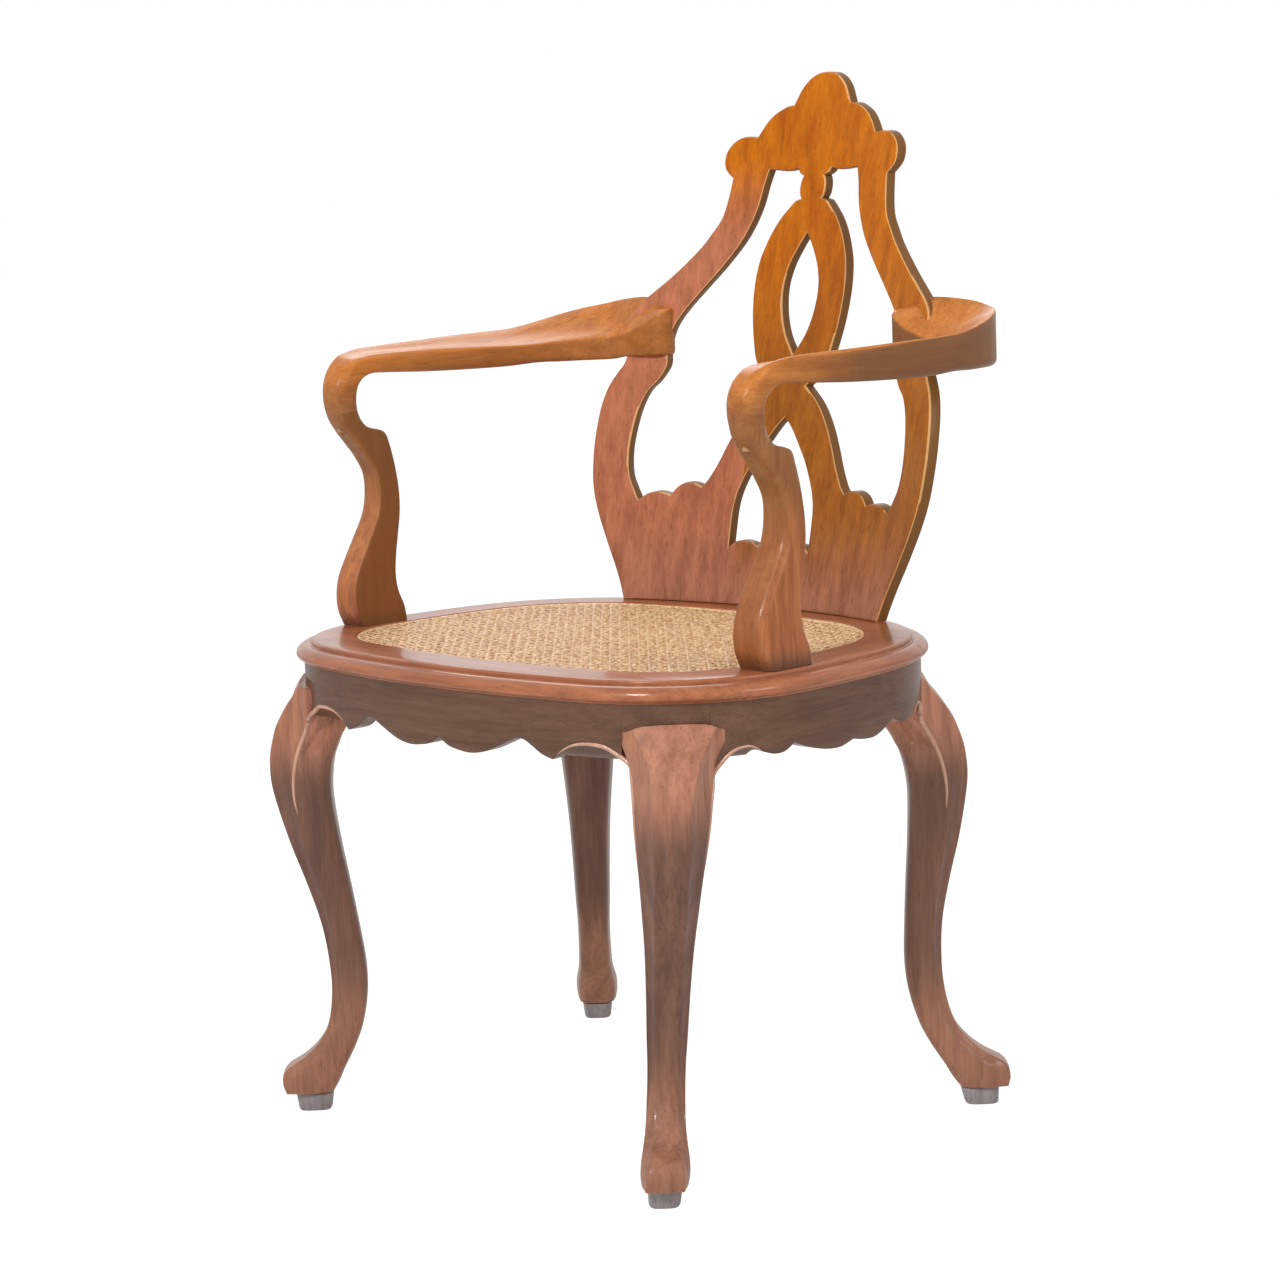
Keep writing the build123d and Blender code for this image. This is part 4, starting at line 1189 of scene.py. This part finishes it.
opening_points = [off_line(p, out, -OPENING_INSET, CANE_Z * METRE) for p, out in line]
opening = piece("cane_opening", opening_points, [tuple(range(len(opening_points)))])
weaver = opening.modifiers.new("weave", "NODES")
weaver.node_group = weave
weave_inputs = {"Pitch": CANE_PITCH, "Strand Width": STRAND_WIDTH, "Wave": WAVE,
                "Finish": cane_finish}
for title, value in weave_inputs.items():
    weaver[weave.interface.items_tree[title].identifier] = value
evaluated = opening.evaluated_get(bpy.context.evaluated_depsgraph_get())
woven = bpy.data.meshes.new_from_object(evaluated)
opening.modifiers.remove(weaver)
bpy.data.objects.remove(opening)
cane_sheet = new_object("cane_sheet", woven)
print("cane:", len(woven.polygons), "faces")
dress(cane_sheet, cane_finish, "cane_panel", slot="cane")

# %% [markdown]
# ## The line under one rail
# What hangs under a rail follows the same bowed line as the rail does. This helper finds the line's
# place at any distance from the middle of one side, so that aprons and knees can be drawn flat, by
# their distance along the rail, and still bend with the seat.

# %% The line under one rail
END_REACH = 60
SIDE_REACH = 120


def line_at(side, value):
    """Point on the ridge and the way outward, by distance from the middle of one side."""
    sign = 1 if side in ("rear", "left") else -1
    if side in ("front", "rear"):
        near_side = [(p.x, p, o) for p, o in line if (p.y - SEAT_Y) * sign > END_REACH]
    else:
        near_side = [(p.y - SEAT_Y, p, o) for p, o in line if p.x * sign > SIDE_REACH]
    near_side.sort(key=lambda item: item[0])
    for (a, pa, oa), (b, pb, ob) in zip(near_side, near_side[1:]):
        if a <= value <= b:
            t = (value - a) / (b - a)
            return pa.lerp(pb, t), oa.lerp(ob, t).normalized()
    return (near_side[0] if value < near_side[0][0] else near_side[-1])[1:]


print("the front rail's ridge lies at y", round(line_at("front", 0)[0].y, 1), "mm")

# %% [markdown]
# ## Aprons
# The lower edge of each apron is cut in shallow lobes with pointed cusps between them. The edge
# is drawn as curves, distance along the rail against height, that meet at the cusps. The face
# follows the seat's line, and beside each leg the edge is hollowed to a cove.

# %% Aprons
front_lobes = [
    [(0, 391), (12, 384), (26, 381), (41, 380), (58, 383), (76, 390), (94, 398)],
    [(94, 398), (104, 397.5), (114, 392), (124, 386), (135, 382.5)],
    [(135, 382.5), (146, 391), (158, 397), (172, 399), (186, 398), (196, 393.5), (203, 387)],
]
side_lobes_front = [
    [(0, 383), (-18, 379), (-37, 380), (-59, 385), (-78, 392)],
    [(-78, 392), (-88, 386), (-98, 385), (-108, 388)],
    [(-108, 388), (-114, 392.5), (-122, 395), (-131, 393), (-139, 387), (-148, 376)],
]
side_lobes_rear = [
    [(0, 383), (18, 380), (34, 380), (50, 385), (64, 392)],
    [(64, 392), (78, 386), (92, 386), (104, 389)],
    [(104, 389), (112, 393), (122, 396), (134, 393), (146, 385)],
]
EDGE_STEP = 2.5
COVE_FLOOR = 384.0
COVE_RISE = 10
APRON_FACE = 8
APRON_BACK = -12


def other_way(curves):
    """The same curves on the other side of the middle."""
    return [[(-x, z) for x, z in curve] for curve in curves]


def apron_section(bottom, floor_z, deep):
    """Section of an apron (outward, height): a rounded lower edge that deepens to a cove."""
    drop = bottom - floor_z
    return [(APRON_FACE, APRON_TOP), (APRON_FACE, 415), (APRON_FACE, bottom + 5),
            (7.9, bottom + 2.4), (7.4, bottom + 0.9), (6.6, bottom + 0.2),
            (5.6 - 1 * deep, bottom - drop * 0.12), (4 - 3 * deep, bottom - drop * 0.3),
            (0 - 3 * deep, bottom - drop * 0.62), (-6 - 1 * deep, bottom - drop * 0.92),
            (-11, floor_z), (APRON_BACK, floor_z + 2), (APRON_BACK, APRON_TOP)]


def apron(side, first_half, second_half, material):
    """Band under one rail: lobes along its lower edge and a hollowed cove beside each leg."""
    edge = chain(first_half, EDGE_STEP)[::-1][:-1] + chain(second_half, EDGE_STEP)
    rows = []
    for p in edge:
        cove = second_half[-1] if p.x > 0 else first_half[-1]
        deep = part_way(abs(p.x), abs(cove[0][0]), COVE_RISE)
        floor_z = p.y * (1 - deep) + min(p.y, COVE_FLOOR) * deep
        place, out = line_at(side, p.x)
        rows.append([off_line(place, out, reach, z)
                     for reach, z in apron_section(p.y, floor_z, deep)])
    points, faces = loft(rows)
    dress(tidy(piece(f"apron_{side}", points, faces)), material, f"apron_{side}")


for side in ("front", "rear"):
    apron(side, other_way(front_lobes), front_lobes, apron_wood)
for side in ("left", "right"):
    apron(side, side_lobes_front, side_lobes_rear, side_apron_wood)
print("curves in a front apron's half:", len(front_lobes))

# %% [markdown]
# ## Legs
# Each leg is a cabriole: it swells at the knee, sweeps in at the ankle and rolls out into a small
# scrolled foot. One table holds the face, the back and the width at each height, for a leg
# that stands along the diagonal of the seat. Above it sits the block that the aprons meet.

# %% Table of the legs
# Height, reach of the face, reach of the inner side, half width of the face, reach of the wing,
# half width of the leg.
leg_table = [
    (18, 26, -19, 17, 8, 20), (28, 29, -25, 17, 10, 21.5), (40, 26, -30.5, 15, 8, 21.2),
    (50, 10, -36, 13, -2, 19.5), (62, -4, -42, 12, -14, 17.8), (80, -16, -49, 11.5, -25, 17),
    (110, -21.5, -54.5, 11.5, -30, 16.8), (140, -21, -54.5, 12, -30, 18),
    (180, -15, -49, 12.5, -25, 19.4), (220, -3, -42.5, 13.5, -15, 21.5),
    (260, 11, -35.5, 14.5, -4, 25), (300, 22.5, -30, 15.3, 4, 29), (320, 26.5, -30, 15.8, 5, 31),
    (340, 27, -33, 16.3, 2, 32.8), (350, 25.8, -37, 17, -1, 33.3), (360, 23.5, -41, 18.3, -5, 34.3),
    (372, 20, -48, 20.3, -10, 35.3), (380, 16, -52, 22, -13, 37), (388, 11.5, -56, 24, -14, 39.5),
    (395, 7, -58.5, 27, -14, 42), (401, 2.5, -60, 29.5, -13.5, 44), (413, -3, -63, 34.5, -13, 44),
    (418, -6.5, -64, 38, -13, 44),
]
LEG_FOOT = 18
LEG_TOP = 418
LEG_HEIGHTS = [LEG_FOOT + 4 * k for k in range((LEG_TOP - LEG_FOOT) // 4 + 1)]

# Place of the foot, the way outward, how far the top lies across from it, and how far inward.
corners = {
    "front_left": ((235, SEAT_Y - 198.5), (1, -1), 24, 0),
    "front_right": ((-235, SEAT_Y - 198.5), (-1, -1), 24, 0),
    "rear_left": ((259, SEAT_Y + 208.3), (1, 1), 0, 47),
    "rear_right": ((-259, SEAT_Y + 208.3), (-1, 1), 0, 47),
}
print("legs:", len(corners), "with", len(leg_table), "sections each")

# %% [markdown]
# ## The section of a leg
# Looked at from above, a leg is a narrow face with a hollowed bevel on each side, a sharp wing and
# rounded flanks. Near the knee the flank also has a small hollow. The section is drawn for one
# side and mirrored, and a second helper turns it to its corner of the seat.

# %% The section of a leg
HOLLOW = 1.6
FLANK_DIP = 3.4


def leg_section(outer, inner, face, wing, half, z):
    """Section of a leg: a narrow face, hollowed bevels and rounded flanks, mirrored."""
    r = min(half * 0.6, 14)
    right = [(outer + 1.2, 0), (outer + 1.1, face * 0.35), (outer + 0.7, face * 0.7),
             (outer + 0.5, face * 0.85), (outer + 0.2, face - 1.2), (outer - 1, face)]
    for f in (0.12, 0.3, 0.55, 0.8):
        deep = HOLLOW * math.sin(math.pi * min(f * 1.6, 1))
        right.append((outer - 1 + (wing - outer + 1) * f - deep, face + (half - face) * f))
    right += [(wing + 1.8, half - 0.7), (wing, half), (wing - 2.4, half - 0.2)]
    arch = part_way(z, 346, 8) * part_way(z, 400, -8)
    rim = wing - 4 - 0.28 * max(z - 350, 0)
    for f in (0.1, 0.22, 0.36, 0.5, 0.66, 0.82):
        t = wing - 2.4 + (inner + r - wing + 2.4) * f
        dip = FLANK_DIP * arch * part_way(t, rim, -2.5)
        right.append((t, half * (0.995 - 0.095 * f) - dip))
    for k in range(5):
        a = math.pi / 2 * k / 4
        right.append((inner + r - r * math.sin(a), half * 0.9 - r * (1 - math.cos(a))))
    left = [(t, -w) for t, w in reversed(right[1:])]
    return right + left


def leg_point(corner, t, w, z):
    """Point of a leg from its reach outward, its distance across and its height."""
    (fx, fy), (sx, sy), lean, splay = corner
    share = z / APRON_TOP
    t = t - splay * share
    w = w + lean * share
    return (fx + (sx * t + sx * w) * DIAGONAL, fy + (sy * t - sy * w) * DIAGONAL, z)


print("points in a leg's section:", len(leg_section(*leg_table[0][1:], LEG_FOOT)))

# %% [markdown]
# ## Building the legs
# A leg is one loft from the scrolled foot to the knee, with the top rows rounded down at their
# wings. Each foot stands on a pad. The block above the knee is cut from the line of the rails.

# %% Building the legs
PAD_SIDES = 24
PAD_SQUARE = 0.6
CROWN = 6.5
BLOCK_FACE = 7.8
BLOCK_DEPTH = 30
BLOCK_HALF = 62
BLOCK_FOOT = 404


def foot_pad(corner):
    """Rows of the pad under a foot: rounded squares (height, half length, half width)."""
    rows = []
    for z, half_t, half_w in ((16.5, 18, 15.5), (15, 18, 15.5), (2, 16, 14), (0, 15, 13)):
        row = []
        for k in range(PAD_SIDES):
            a = 2 * math.pi * k / PAD_SIDES
            c, s = math.cos(a), math.sin(a)
            row.append(leg_point(corner, half_t * math.copysign(abs(c)**PAD_SQUARE, c),
                                 half_w * math.copysign(abs(s)**PAD_SQUARE, s), z))
        rows.append(row)
    return rows


def leg_block(corner):
    """Rows of the block above a knee, between the bowed face and a line inside it."""
    sx, sy = corner[1]
    across = Vector((sx * DIAGONAL, -sy * DIAGONAL))
    top = Vector(leg_point(corner, 0, 0, APRON_TOP)[:2])
    run = sorted(((p + o * BLOCK_FACE - top).dot(across), p + o * BLOCK_FACE, o)
                 for p, o in line if p.x * sx > 60 and (p.y - SEAT_Y) * sy > 20)
    run = [item for item in run if -BLOCK_HALF <= item[0] <= BLOCK_HALF]
    rows = []
    for z in (APRON_TOP, BLOCK_FOOT):
        outer_face = [(p.x, p.y, z) for _, p, o in run]
        inner_face = [off_line(p, o, -BLOCK_DEPTH, z) for _, p, o in reversed(run)]
        rows.append(outer_face + inner_face)
    return rows


def leg(name, corner):
    """One leg with its pad, and the block above it."""
    rows = []
    for z, row in zip(LEG_HEIGHTS, smooth_table(leg_table, LEG_HEIGHTS)):
        crown = CROWN * part_way(z, 398, 20)
        rows.append([leg_point(corner, t, w, z - crown * min(abs(w) / 41, 1)**5)
                     for t, w in leg_section(*row, z)])
    points, faces = loft(rows)
    pad_points, pad_faces = loft(foot_pad(corner))
    faces += [tuple(i + len(points) for i in face) for face in pad_faces]
    points += pad_points
    dress(tidy(piece(f"leg_{name}", points, faces), sharp=35), leg_wood, f"leg_{name}")
    block_points, block_faces = loft(leg_block(corner))
    dress(tidy(piece(f"leg_block_{name}", block_points, block_faces), sharp=35), block_wood)


for name, corner in corners.items():
    leg(name, corner)
print("rows in each leg:", len(LEG_HEIGHTS))

# %% [markdown]
# ## The lips beside the knees
# The carver leaves a fine raised lip along the hollow beside each knee: it starts on the apron's edge,
# bends over the hollow and runs down the leg until it fades. It could be cut into the leg, but a tube
# that tapers along the same line is simpler and catches the light in the same way. Its pale finish is
# a painted highlight along the lip.

# %% Knee lips
LIP_RADII = (0.4, 1.5, 2.1, 2.2, 2.1, 1.9, 1.5, 0.6)
LIP_SIDES = 8
LIP_STEP = 2.5
LIP_REACH = 6.8
LIP_HEIGHTS = (384, 374, 362, 348, 330, 308, 285)
front_arch = [(140, 387.5), (148, 392.5), (158, 397), (172, 399), (186, 398), (194, 394.5)]
side_arch = [(110, 389), (115, 393), (122, 395), (131, 393), (137, 388.5)]
knee_rows = list(zip(LIP_HEIGHTS, smooth_table(leg_table, LIP_HEIGHTS)))


def lip(name, path):
    """Thin tapered bead along a path of points."""
    run = spline_points(path, LIP_STEP)
    rows = []
    for k, p in enumerate(run):
        along = k / (len(run) - 1) * (len(LIP_RADII) - 1)
        low = min(int(along), len(LIP_RADII) - 2)
        radius = LIP_RADII[low] + (LIP_RADII[low + 1] - LIP_RADII[low]) * (along - low)
        ahead = (run[min(k + 1, len(run) - 1)] - run[max(k - 1, 0)]).normalized()
        level_way = Vector((0, 0, 1)) if abs(ahead.z) < 0.9 else Vector((1, 0, 0))
        side = ahead.cross(level_way).normalized()
        over = side.cross(ahead)
        angles = [2 * math.pi * i / LIP_SIDES for i in range(LIP_SIDES)]
        rows.append([tuple(p + (side * math.cos(a) + over * math.sin(a)) * radius)
                     for a in angles])
    points, faces = loft(rows)
    dress(tidy(piece(name, points, faces), sharp=60), lip_highlight_wood)


for name, corner in corners.items():
    sx, sy = corner[1]
    knee_sides = [("front" if sy < 0 else "rear", sx, front_arch, knee_rows, -1),
                  ("left" if sx > 0 else "right", sy, side_arch, knee_rows[1:], 1)]
    for side, sign, arch, knee, across in knee_sides:
        path = [Vector(off_line(*line_at(side, sign * x), LIP_REACH, z)) for x, z in arch]
        path += [Vector(leg_point(corner, row[3] - 0.6, across * (row[4] - 0.8), z))
                 for z, row in knee]
        lip(f"lip_{name}_{side}", path)
print("lips:", 2 * len(corners))

# %% [markdown]
# ## Arm posts
# Each post springs from the side rail as a reversed curve. It is sawn to a pattern seen from the
# side, then rounded, so the pattern is drawn and given its thickness.

# %% Table of the posts
# Height, front, rear, width, radius of the sharp corners, radius of the round ones, how deep the
# two fine grooves are, as a share.
post_table = [
    (455, -96.4, -39.4, 36, 2, 8, 1), (470, -103.4, -42, 36, 2, 9, 1),
    (486, -105.3, -48.4, 35, 2, 10, 1), (502, -102.4, -50.4, 34, 2, 10, 0.7),
    (520, -93.4, -48.4, 33, 2, 10, 0.3), (540, -81.4, -44.4, 32, 2, 10, 0),
    (562, -69.4, -40.2, 31, 2, 10, 0), (582, -65.4, -39.4, 30, 2.5, 10, 0),
    (602, -67.4, -41.5, 29, 3, 10, 0), (620, -78.4, -44.5, 29, 5, 11, 0),
    (632, -88.4, -47, 29, 7, 11, 0), (639, -94.4, -49.5, 29.2, 8, 11, 0),
    (642.5, -97.4, -53, 29.4, 9, 11, 0), (645, -99.5, -60, 29.6, 9.5, 11.5, 0),
    (647, -101.2, -69, 29.7, 10, 12, 0), (650, -103.4, -74.4, 29.8, 10.5, 12, 0),
    (657, -107.6, -80, 30, 11, 12, 0), (664.5, -110.5, -82.4, 30, 12, 12, 0),
]
POST_X = 267
POST_HEIGHTS = ([455 + 180 * k / 50 for k in range(50)]
                + [635 + 29.5 * k / 24 for k in range(25)])
print("posts run from", post_table[0][0], "to", post_table[-1][0], "mm")

# %% [markdown]
# ## Shaping the posts
# The level section of a post has four corners that are rounded in different ways, since the
# carver softened the outside and left the inside sharp. Two fine grooves run down its lower half.

# %% Shaping the posts
GROOVE_WIDTH = 1.6
GROOVE_DEPTH = 1.3
CORNER_STEPS = 4
NO_PALE_ARRIS = (1.1, 1.2)


def four_corner(x0, x1, y0, y1, radii, fill):
    """Level section with its own radius at each corner, from the inner front one onward."""
    places = [((x0, y0), (1, 0), (0, 1)), ((x1, y0), (0, 1), (-1, 0)),
              ((x1, y1), (-1, 0), (0, -1)), ((x0, y1), (0, -1), (1, 0))]
    arcs = []
    for ((x, y), ahead, behind), r in zip(places, radii):
        arc = []
        for k in range(CORNER_STEPS + 1):
            a = math.pi / 2 * k / CORNER_STEPS
            rest, on = r * (1 - math.sin(a)), r * (1 - math.cos(a))
            arc.append((x + behind[0] * rest + ahead[0] * on,
                        y + behind[1] * rest + ahead[1] * on))
        arcs.append(arc)
    points = []
    for i, arc in enumerate(arcs):
        points += arc
        start, end = Vector(arc[-1]), Vector(arcs[(i + 1) % 4][0])
        for k in range(1, fill[i] + 1):
            p = start.lerp(end, k / (fill[i] + 1))
            points.append((p.x, p.y))
    return points


def post(side, sign, lit_way, strength):
    """One arm post, with painted shade on the faces that look the opposite way from the lit one."""
    rows = []
    for z, row in zip(POST_HEIGHTS, smooth_table(post_table, POST_HEIGHTS)):
        front, rear, width, r_arris, r_round, flute = row
        x0, x1 = POST_X - width / 2, POST_X + width / 2
        radii = (r_arris, r_round, min(r_round, 4 + r_arris), max(r_arris, 3))
        dug = []
        for x, y in four_corner(x0, x1, front, rear, radii, (9, 9, 3, 5)):
            in_front = math.exp(-((x - x0 - 11) / GROOVE_WIDTH)**2) if y < front + 3 else 0
            outside = math.exp(-((rear - y - 13) / GROOVE_WIDTH)**2) if x > x1 - 3 else 0
            dug.append((sign * (x - GROOVE_DEPTH * flute * outside),
                        SEAT_Y + y + GROOVE_DEPTH * flute * in_front, z))
        rows.append(dug)
    points, faces = loft(rows)
    shape = tidy(piece(f"post_{side}", points, faces), sharp=40)
    # Faces that look away from the lit way are darkened: painted shade.
    marks(shape, lit_way, sawn_and_shaded=(-0.85, -0.5), strength=strength, rubbed_and_highlit=NO_PALE_ARRIS, one_way=True)
    dress(shape, post_wood, f"arm_post_{side}")


# Each post has its painted shade on its own side and at its own strength.
post("left", 1, Vector((0, 1, 0)), 0.35)
post("right", -1, Vector((-1, 0, 0)), 0.8)
print("rows in each post:", len(POST_HEIGHTS))

# %% [markdown]
# ## Arms
# An arm rises off its post in a curl, runs back as a flat paddle that falls a little inward, and
# swells into a lobe that grips the stile. Each station of the table is one sawn section.

# %% Table of the arms
# Station, outer and inner x, y of the top's outer and inner edge, their heights, y of the bottom's
# outer and inner edge, height of the bottom, radius of the upper edges.
arm_table = [
    (0, 282, 252, -110.5, -110.5, 664, 664, -82.4, -82.4, 664, 12),
    (1, 282, 252, -112.5, -112.5, 674, 674, -83.4, -83.4, 672, 12),
    (2, 282, 252, -112.3, -112.3, 685, 684, -83, -83, 681, 11),
    (3, 282.5, 252, -109.5, -109.5, 695, 693, -81, -81, 688, 10),
    (4, 283, 252, -104, -104, 704, 701, -77, -77, 693.5, 8.5),
    (5, 284, 252, -96, -96, 711.5, 708, -71.5, -71.5, 697, 7),
    (6, 285.5, 252.5, -85.5, -85.5, 717.5, 713.5, -65, -65, 698.8, 5.5),
    (7, 287.5, 253.5, -72.5, -72.5, 721, 715.5, -56.5, -56.5, 699, 6),
    (8, 290, 255, -55.5, -55.5, 723.5, 716.5, -45.5, -45.5, 698.5, 6),
    (9, 293.5, 258.5, -22.5, -22.5, 725, 716.5, -18.5, -18.5, 697, 6),
    (10, 297.5, 261, 21.5, 21.5, 726.5, 716, 21.5, 21.5, 695, 6),
    (11, 300, 260, 81.5, 81.5, 728, 714.5, 81.5, 81.5, 693.5, 3.5),
    (12, 299.5, 255, 121.5, 121.5, 728.5, 713.5, 121.5, 121.5, 693.5, 2),
    (13, 297, 249, 151.5, 155.5, 729.5, 714, 151.5, 155.5, 695, 2),
    (14, 294, 241, 177.5, 179.5, 733, 715.5, 177.5, 179.5, 694.5, 2),
    (15, 289.5, 231, 200, 195.5, 737.5, 716.5, 200, 195.5, 694.5, 2),
    (16, 283, 219, 219.5, 209.5, 742, 717.5, 219.5, 209.5, 694.5, 2),
    (17, 271.5, 205, 238.5, 219, 746.5, 719, 238.5, 219, 695, 2),
    (18, 254, 190, 249.5, 222.5, 750, 722, 249.5, 222.5, 697.5, 2),
    (19, 235, 174, 254.5, 223.5, 753.5, 728, 254.5, 223.5, 698, 2),
    (20, 214, 160, 253.5, 227, 756, 736, 253.5, 227, 698, 2),
    (21, 199, 151, 251.5, 233.5, 757, 742, 251.5, 233.5, 698, 2),
    (22, 190, 149, 249.5, 242, 757, 745, 249.5, 242, 698, 2),
    (23, 186, 151, 247.5, 250, 756, 745, 247.5, 250, 698, 2),
]
ARM_ROWS = 138
ARM_KEYS = [arm_table[-1][0] * k / ARM_ROWS for k in range(ARM_ROWS + 1)]
print("arm stations:", len(arm_table))

# %% [markdown]
# ## Shaping the arms
# Each row of an arm is a four-sided section with rounded corners. Its top is dished a little, for
# the sitter's forearm, from just behind the curl.

# %% Shaping the arms
DISH = 2.5
DISH_STEPS = 5


def corner_arc(p, q, r, radius):
    """Quarter round at corner p between its neighbours q and r."""
    to_q = (q - p).normalized() * min(radius, (q - p).length * 0.45)
    to_r = (r - p).normalized() * min(radius, (r - p).length * 0.45)
    angles = [math.pi / 2 * k / CORNER_STEPS for k in range(CORNER_STEPS + 1)]
    return [p + to_q * (1 - math.sin(a)) + to_r * (1 - math.cos(a)) for a in angles]


def arm(side, sign, strength):
    """One arm, with painted shade behind its curl on the faces that don't look up."""
    rows = []
    for key, row in zip(ARM_KEYS, smooth_table(arm_table, ARM_KEYS)):
        x_out, x_in, ty_out, ty_in, tz_out, tz_in, by_out, by_in, bz, arris = row
        a = Vector((x_out, ty_out, tz_out))
        b = Vector((x_in, ty_in, tz_in))
        c = Vector((x_in, by_in, bz))
        d = Vector((x_out, by_out, bz))
        dish = DISH * part_way(key, 5, 4)
        ring = corner_arc(a, d, b, arris)
        inner_corner = corner_arc(b, a, c, arris)
        start, end = ring[-1], inner_corner[0]
        down = (d - a).normalized()
        for k in range(1, DISH_STEPS + 1):
            f = k / (DISH_STEPS + 1)
            ring.append(start.lerp(end, f) + down * dish * 4 * f * (1 - f))
        ring += inner_corner + corner_arc(c, b, d, max(arris, 5))
        ring += corner_arc(d, c, a, max(arris, 6))
        rows.append([(sign * p.x, SEAT_Y + p.y, p.z) for p in ring])
    points, faces = loft(rows)
    shape = tidy(piece(f"arm_{side}_shape", points, faces), sharp=40)
    # Faces that don't look up are darkened behind the curl: painted shade under light from above.
    marks(shape, Vector((0, 0, 1)), sawn_and_shaded=(0.1, 0.7), strength=strength, rubbed_and_highlit=NO_PALE_ARRIS,
          one_way=True, fade=(-0.15, -0.03))
    dress(shape, arm_wood, f"arm_{side}")


# The painted shade on the arms' sides is stronger on the left arm.
arm("left", 1, 0.8)
arm("right", -1, 0.4)
print("rows in each arm:", len(ARM_KEYS))

# %% [markdown]
# ## Fixings out of sight
# Dowels, screws and glue blocks keep their own shapes and only need a finish: bare wood that
# never saw varnish, and dull steel. The steel's fine scratches are noise drawn out one way.

# %% Fixings
def screw_steel():
    """Dull steel whose scratches run along Z."""
    material, tree, shader, place = new_finish("screw_steel_finish")
    scratch = ramp(tree, noise(tree, place, 300, 2, (1, 1, 0.1)), 0.3, 0.7, 0.3, 0.5)
    colour = blend(tree, scratch, (0.5, 0.5, 0.5, 1), (0.7, 0.68, 0.66, 1))
    feed(tree, shader, {"Base Color": colour, "Roughness": scratch, "Metallic": 1.0})
    return material


bare_wood = wood("bare_wood", (0.5, 0.3, 0.16), (0.32, 0.17, 0.08), coat=0.0, gloss=0.2)
steel = screw_steel()
fixings = ["rail_dowels", "seat_dowels", "arm_dowels", "back_dowels", "back_joint_dowels",
           "corner_block_screws", "post_screws"]
fixings += [f"corner_block_{name}" for name in corners]
for name in fixings:
    node = bpy.data.objects[name]
    finish = steel if name.endswith("screws") else bare_wood
    if node.material_slots:
        node.material_slots[0].material = finish
    else:
        node.data.materials.append(finish)
print("fixings:", len(fixings))
